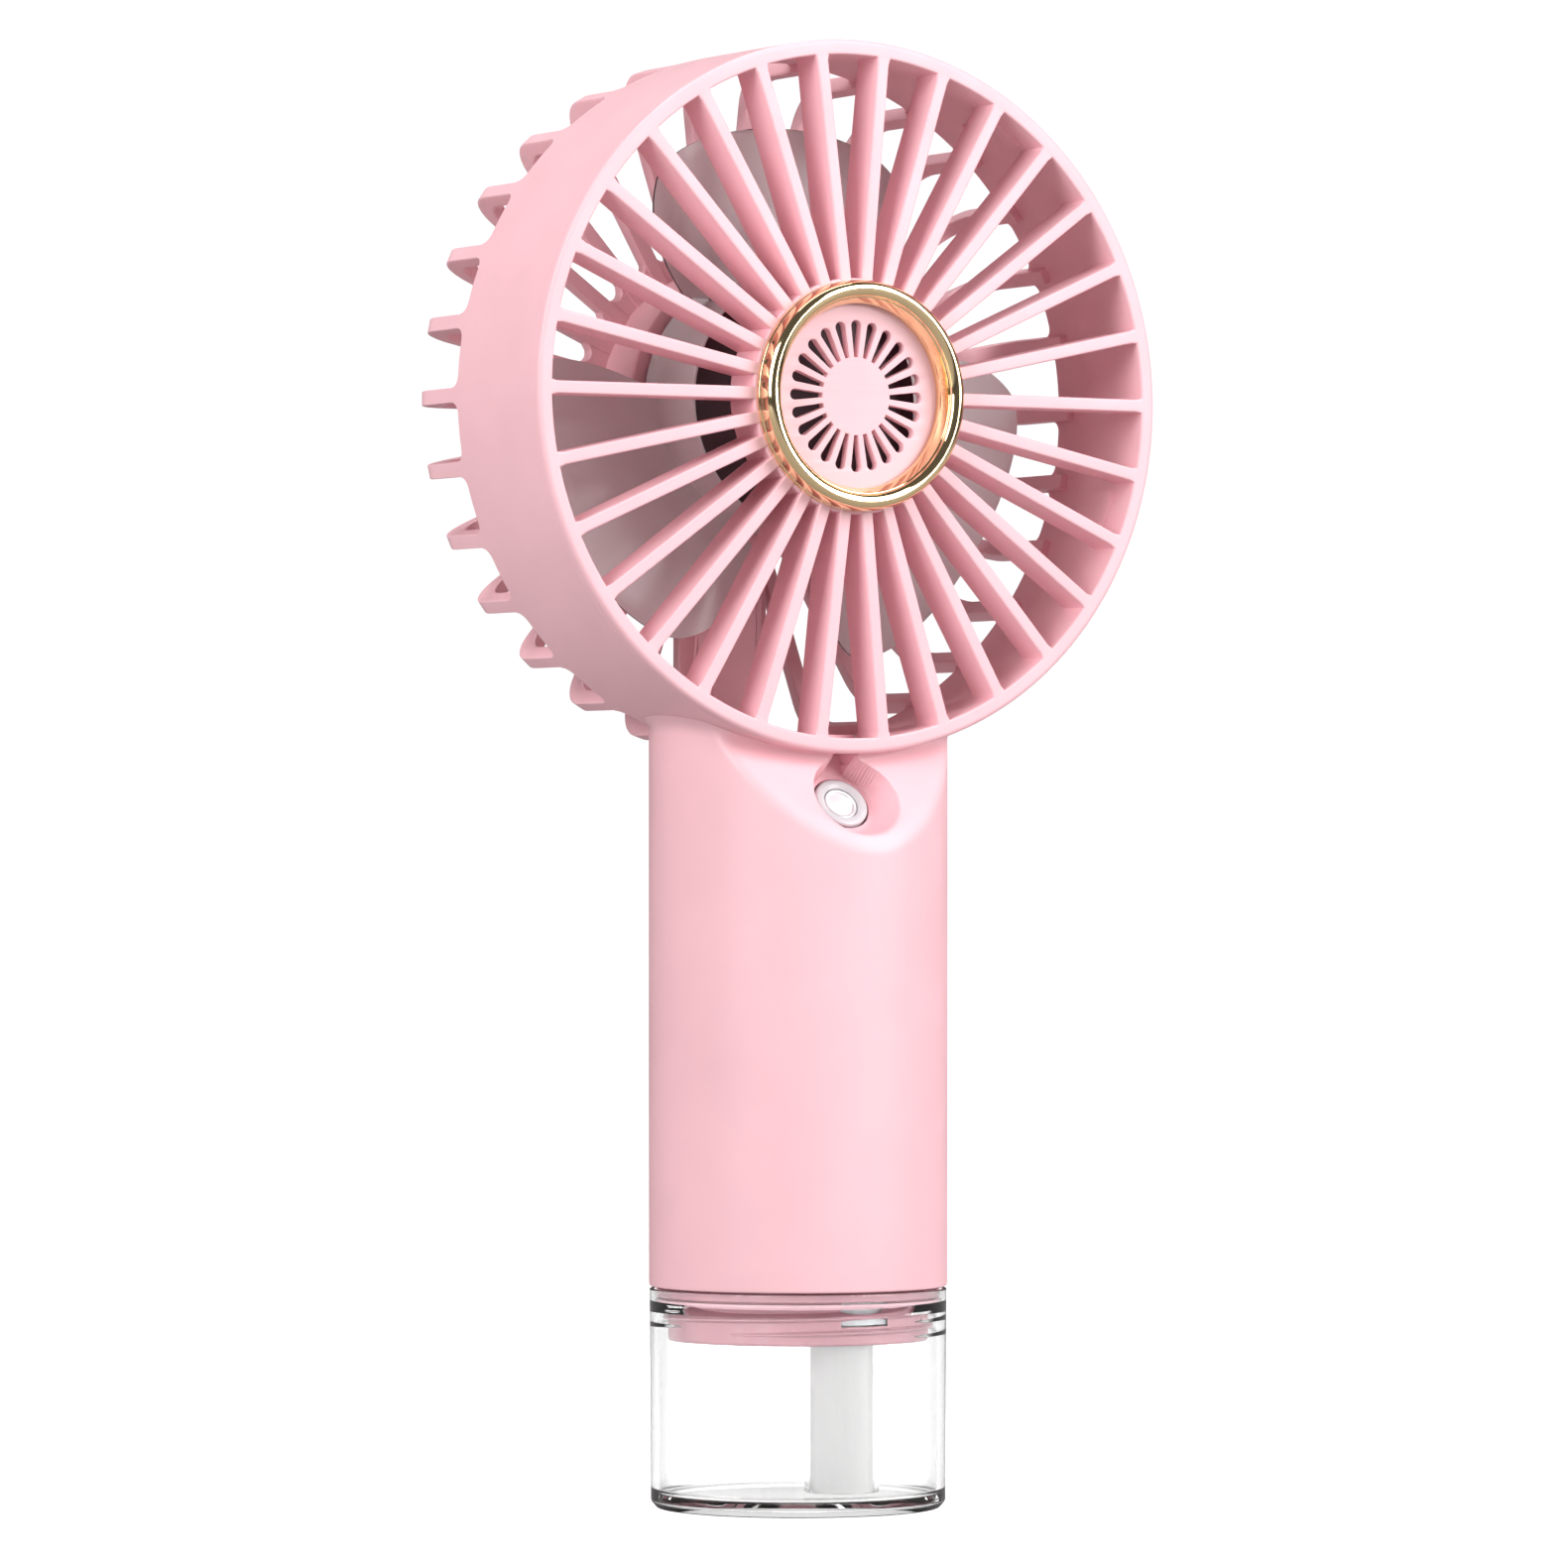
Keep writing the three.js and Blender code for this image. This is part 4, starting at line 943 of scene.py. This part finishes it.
# ---- nozzle and buttons ----
def build_nozzle():
    """The mist nozzle: a white bezel round a steel plate with a domed middle."""
    bezel = rounded([(BEZEL_BORE_R, -1.3, 0.1), (BEZEL_R, -1.3, 0.1), (BEZEL_R, 0.6, 0.42), (3.3, 0.45, 0.15),
                     (BEZEL_BORE_R, 0.15, 0.1)])
    ring = made("nozzle_ring", [axis_lathe(bezel, NOZZLE, NORMAL, 96)])
    dress(ring, "handle", "white_plastic", "nozzle_bezel")
    flange_r, dome_r = 5.9, BEZEL_BORE_R - 0.13
    plate = [(0, -2.08), (flange_r, -2.08), (flange_r, -1.82), (dome_r, -1.82), (dome_r, -0.05), (2.45, 0.1),
             (2.1, 0.06), (1.95, -0.12), (0.8, -0.02), (0, 0.0)]
    centre = made("mist_plate", [axis_lathe(plate, NOZZLE, NORMAL, 96)])
    dress(centre, "handle", "nozzle_steel", "mesh_plate")


def build_buttons():
    """The power and mist buttons: caps with a dished top over a flange."""
    for name, z, r in (("power", POWER_Z, POWER_R), ("mist", MIST_Z, MIST_R)):
        seat = low(f"{name}_button").y
        front = high(f"{name}_button").y
        cap = rounded([(0, seat, 0), (r + 1, seat, 0.1), (r + 1, seat + 0.7, 0.1), (r, seat + 0.7, 0.1),
                       (r, front - 0.25, 0.45), (r * 0.72, front, 0.3), (r * 0.45, front - 0.35, 0.8),
                       (0, front - 0.42, 0)])
        button = made(f"{name}_button_cap", [axis_lathe(cap, (0, 0, z), (0, 1, 0), 72)])
        dress(button, f"{name}_button", "pink_shell", f"{name}_button")


def build_duct():
    """The cover over the wires between the handle and the motor's boss."""
    low_z, high_z = low("duct_cover").z, high("duct_cover").z
    front, rear = low("duct_cover").y, high("duct_cover").y + 0.25
    half = high("duct_cover").x
    duct = made("wire_duct", [block((-half, front, low_z), (half, rear, high_z))])
    bevel(duct, 0.5, 3)
    channel = block((0.9 - half, front + 0.9, low_z - 1), (half - 0.9, rear + 1, high_z + 1))
    boss = [(0, 10), (BOSS_R + 0.1, 10), (BOSS_R + 0.1, 26), (0, 26)]
    seams = [block((x - 0.07, front - 0.5, low_z - 1), (x + 0.07, front + 0.22, high_z + 1))
             for x in (1.1 - half, half - 1.1)]
    combine(duct, [[channel], [head_lathe(boss, 180)], seams], "DIFFERENCE")
    dress(duct, "handle", "pink_shell", "duct_cover")


def build_port():
    """The USB-C socket: a drawn steel shell with a tongue inside."""
    front, back = high("usb_c_port").y, low("usb_c_port").y
    port = made("usb_port", [rounded_bar(4.5, 1.6, 1.58, back, front, (0, USB_Z), 7)])
    combine(port, [[rounded_bar(4.15, 1.25, 1.23, back + 0.8, front + 1, (0, USB_Z), 7)]], "DIFFERENCE")
    combine(port, [[rounded_bar(3.3, 0.35, 0.15, back + 0.3, front - 0.8, (0, USB_Z), 2)]], "UNION")
    dress(port, "handle", "motor_steel", "usb_c_port")


def build_light_pipe():
    """The clear rod that shows the charging lamp."""
    front, back = high("led_light_pipe").y, low("led_light_pipe").y
    pipe = rounded([(0, back, 0), (1, back, 0.1), (1, front - 0.15, 0.3), (0.5, front, 0.2), (0, front, 0)])
    led = made("light_pipe", [axis_lathe(pipe, (0, 0, LED_Z), (0, 1, 0), 40)])
    dress(led, "handle", "clear_plastic", "led_light_pipe")


def build_screws():
    """Countersunk pan heads with a cross recess."""
    for name, side in (("left", -1), ("right", 1)):
        node = f"motor_screw_{name}"
        front, rear = low(node).y, high(node).y
        body = rounded([(0, front, 0), (1, front, 0.2), (1, rear - 0.7, 0), (1.95, rear - 0.7, 0.15),
                        (1.95, rear - 0.25, 0.3), (1.2, rear, 0.4), (0, rear, 0)])
        screw = made(f"screw_{name}", [axis_lathe(body, (side * SCREW_X, 0, HEAD_Z), (0, 1, 0), 40)])
        for half_x, half_z in ((1.1, 0.2), (0.2, 1.1)):
            arm = block((side * SCREW_X - half_x, rear - 0.55, HEAD_Z - half_z),
                        (side * SCREW_X + half_x, rear + 1, HEAD_Z + half_z))
            combine(screw, [[arm]], "DIFFERENCE")
        dress(screw, "handle", "motor_steel", node)


# ---- neck, wick and tank ----
def thread(root_r, crest_r, start_z, turns, start=THREAD_START):
    """A right-hand helical ridge with softened flanks whose ends run out into the wall."""
    sink = 0.3 * math.copysign(1, crest_r - root_r)
    steps = round(turns * 96)
    rings = []
    for i in range(steps + 1):
        t = i / steps
        ease = min(1.0, t * turns / RUN_OUT_TURNS, (1 - t) * turns / RUN_OUT_TURNS)
        angle = start + t * turns * TAU
        z = start_z + t * turns * THREAD_PITCH
        crest = root_r + (crest_r - root_r) * (0.1 + 0.9 * ease)
        wide = 0.4 + 0.6 * ease
        brow = crest - 0.12 * (crest - root_r)
        section = [(root_r - sink, -0.5), (root_r, -0.46), (brow, -0.2), (crest, -0.08), (crest, 0.08),
                   (brow, 0.2), (root_r, 0.46), (root_r - sink, 0.5)]
        rings.append([Vector((r * math.cos(angle), r * math.sin(angle), z + h * wide)) for r, h in section])
    return strip(rings)


def wick_lathe(outline):
    """A closed outline of (radius, z) turned about the wick's axis."""
    return upright_lathe(outline, 96, 0, WICK_Y)


def plug(radius, low_z, high_z):
    """The outline of a solid cylinder."""
    return [(0, low_z), (radius, low_z), (radius, high_z), (0, high_z)]


def build_neck():
    """The threaded neck, with a boss inside that holds the wick's tube and its seal."""
    outer = HANDLE_R - SHELL_T - 0.3
    foot, floor = HANDLE_Z - 0.3, NECK_Z + 2
    liner, ledge = NECK_LINER_R + 0.8, NECK_TOP - 5.5
    outline = rounded([(0, NECK_Z, 0), (NECK_R, NECK_Z, 0.5), (NECK_R, FLANGE_Z, 0.3),
                       (FLANGE_R, FLANGE_Z, 0.3), (FLANGE_R, foot, 0.1), (outer, foot, 0),
                       (outer, NECK_TOP, 0.2), (liner, NECK_TOP, 0.2), (liner, ledge, 0),
                       (NECK_LINER_R, ledge, 0), (NECK_LINER_R, floor, 0.3), (0, floor, 0)])
    neck = made("neck", [upright_lathe(outline)])
    boss = made("seal_boss", [wick_lathe(plug(TUBE_R + 3.2, NECK_Z + 1, 33.1))])
    combine(boss, [[upright_lathe(plug(NECK_R - 0.4, NECK_Z + 0.5, 34))]], "INTERSECT")
    boolean(neck, boss, "UNION")
    combine(neck, [[thread(NECK_R, THREAD_CREST_R, THREAD_Z, THREAD_TURNS)]], "UNION")
    bore = wick_lathe(plug(TUBE_R + 0.12, NECK_Z - 1, 29))
    seal_pocket = wick_lathe(plug(TUBE_R + 2, 28.1, NECK_TOP + 1))
    combine(neck, [[bore], [seal_pocket]], "DIFFERENCE")
    dress(neck, "handle", "pink_neck", "neck_collar")


def build_tank():
    """The clear tank: a cup with a widened mouth and four lugs that run in the neck's thread."""
    outline = rounded([(0, 0, 0), (TANK_R - 1.1, 0, 0.5), (TANK_R - 0.2, 1.0, 0.7), (TANK_R, TANK_TOP, 0.2),
                       (TANK_MOUTH_R, TANK_TOP, 0.2), (TANK_MOUTH_R, MOUTH_Z, 0.3),
                       (TANK_BORE_R, CONE_Z, 0.3), (TANK_BORE_R, TANK_FLOOR, 0.9), (0, TANK_FLOOR, 0)], 6)
    tank = made("tank_shell", [upright_lathe(outline, 160)])
    meshed = THREAD_Z + THREAD_PITCH / 2
    lugs = [thread(TANK_BORE_R, LUG_CREST_R, meshed + t * THREAD_PITCH, LUG_TURNS, THREAD_START + t * TAU)
            for t in LUG_STARTS]
    combine(tank, [[lug] for lug in lugs], "UNION")
    dress(tank, "tank", "clear_plastic", "tank", material=TANK_CLEAR, sharp=50)


def build_wick():
    """The cotton wick, cut off along the nozzle's slope, and the clear flanged tube round its foot."""
    lowest, highest = low("wick_tube").z, high("wick_tube").z
    inner, flange_top = TUBE_R - TUBE_T, TUBE_FLANGE_Z + TUBE_FLANGE_T
    outline = rounded([(inner, lowest, 0.1), (TUBE_R, lowest, 0.25), (TUBE_R, TUBE_FLANGE_Z, 0),
                       (TUBE_FLANGE_R, TUBE_FLANGE_Z, 0.2), (TUBE_FLANGE_R, flange_top, 0.2),
                       (TUBE_R, flange_top, 0), (TUBE_R, highest, 0.2), (inner, highest, 0.1)])
    tube = made("wick_sleeve", [wick_lathe(outline)])
    dress(tube, "handle", "clear_plastic", "wick_tube", sharp=50)
    bottom = low("wick").z
    stick = [(0, bottom), (WICK_R - 1, bottom), (WICK_R - 0.35, bottom + 0.2), (WICK_R, bottom + 0.9)]
    stick += [(WICK_R, bottom + 0.9 + k) for k in range(1, WICK_LENGTH)]
    stick += [(0, bottom + WICK_LENGTH)]
    wick = made("cotton_wick", [wick_lathe(stick)])
    reach, under_nozzle = 60, -6.7
    slab, faces = block((-reach, -reach, under_nozzle), (reach, reach, reach))
    turn = Matrix.Rotation(CHIN_TILT, 3, "X")
    combine(wick, [[([turn @ v + NOZZLE for v in slab], faces)]], "DIFFERENCE")
    dress(wick, "handle", "wick_cotton", "wick")


# ---- stage ----
def seen_white(nodes, links):
    """One where a ray comes straight or through clear plastic from the eye, zero for lighting rays."""
    path = nodes.new("ShaderNodeLightPath")
    return larger(nodes, links, path.outputs["Is Camera Ray"], path.outputs["Is Transmission Ray"])


def build_floor():
    """A white floor that looks the same all over and throws little light back up."""
    half = FLOOR_HALF
    plane = bpy.data.meshes.new("floor")
    corners = [(-half, -half, 0), (half, -half, 0), (half, half, 0), (-half, half, 0)]
    plane.from_pydata(corners, [], [(0, 1, 2, 3)])
    floor = placed("floor", plane)
    floor.location.z = FLOOR_Z
    material, nodes, links, shader, _ = node_material("white_floor")
    shader.inputs["Roughness"].default_value = 0.9
    shader.inputs["Specular IOR Level"].default_value = 0.1
    links.new(blend_colours(nodes, links, seen_white(nodes, links), (0.3, 0.29, 0.29), (0.97, 0.97, 0.97)),
              shader.inputs["Base Color"])
    shader.inputs["Emission Color"].default_value = (1, 1, 1, 1)
    glow = spread(nodes, links, seen_white(nodes, links), 0.0, FLOOR_GLOW, 0, 1)
    links.new(glow, shader.inputs["Emission Strength"])
    plane.materials.append(material)


def build_world():
    """A white backdrop to the eye, and a dim studio to everything else."""
    world = bpy.data.worlds.new("studio")
    bpy.context.scene.world = world
    world.use_nodes = True
    nodes, links = world.node_tree.nodes, world.node_tree.links
    background = nodes.get("Background")
    background.inputs["Color"].default_value = (1, 1, 1, 1)
    path = nodes.new("ShaderNodeLightPath")
    dim = spread(nodes, links, path.outputs["Is Glossy Ray"], AMBIENT, REFLECTED, 0, 1)
    lit = nodes.new("ShaderNodeMix")
    lit.inputs["B"].default_value = BACKDROP
    links.new(seen_white(nodes, links), lit.inputs["Factor"])
    links.new(dim, lit.inputs["A"])
    links.new(lit.outputs["Result"], background.inputs["Strength"])


def area_light(name, place, width, height, power):
    """A soft rectangular light aimed at the middle of the fan."""
    data = bpy.data.lights.new(name, "AREA")
    data.shape = "RECTANGLE"
    data.size = width
    data.size_y = height
    data.energy = power
    lamp = placed(name, data)
    lamp.location = place
    lamp.rotation_euler = (Vector(AIM) - Vector(place)).to_track_quat("-Z", "Y").to_euler()


def build_lights():
    """A key light from the front right, a fill from the left and a weak one from above."""
    area_light("key", (0.85, -1.15, 0.8), 0.9, 1.2, 29)
    area_light("left", (-1.15, -0.45, 0.6), 0.7, 0.9, 15)
    area_light("top", (0.0, 0.35, 1.4), 1.0, 0.8, 9)


def build_camera():
    """Level, 30 degrees to the left of the front, far enough away for a gentle perspective."""
    back = Vector((math.sin(AZIMUTH), -math.cos(AZIMUTH), 0))
    right = Vector((math.cos(AZIMUTH), math.sin(AZIMUTH), 0))
    data = bpy.data.cameras.new("camera")
    data.lens = LENS
    data.sensor_width = 36
    data.shift_y = LENS_SHIFT
    data.clip_start = 0.05
    data.clip_end = 50
    camera = placed("camera", data)
    camera.location = back * EYE_DISTANCE + right * EYE_ASIDE + Vector((0, 0, EYE_HEIGHT))
    camera.rotation_euler = (math.pi / 2, 0, AZIMUTH)
    bpy.context.scene.camera = camera


def finish_frame_nodes():
    """Gives every CAD node that still shows the material of its slot."""
    for row in frame["record"]["subparts"]:
        node = frame["nodes"][row["node"]]
        if not node.hide_render:
            node.data.materials.clear()
            node.data.materials.append(MATERIALS[row["material_slot"]])


build_camera()
build_floor()
build_world()
build_lights()
build_cage()
build_grille()
build_disc()
build_trim()
build_duct()
build_impeller()
build_handle()
build_nozzle()
build_buttons()
build_port()
build_light_pipe()
build_screws()
build_neck()
build_tank()
build_wick()
finish_frame_nodes()
bpy.context.scene.view_settings.view_transform = "Standard"
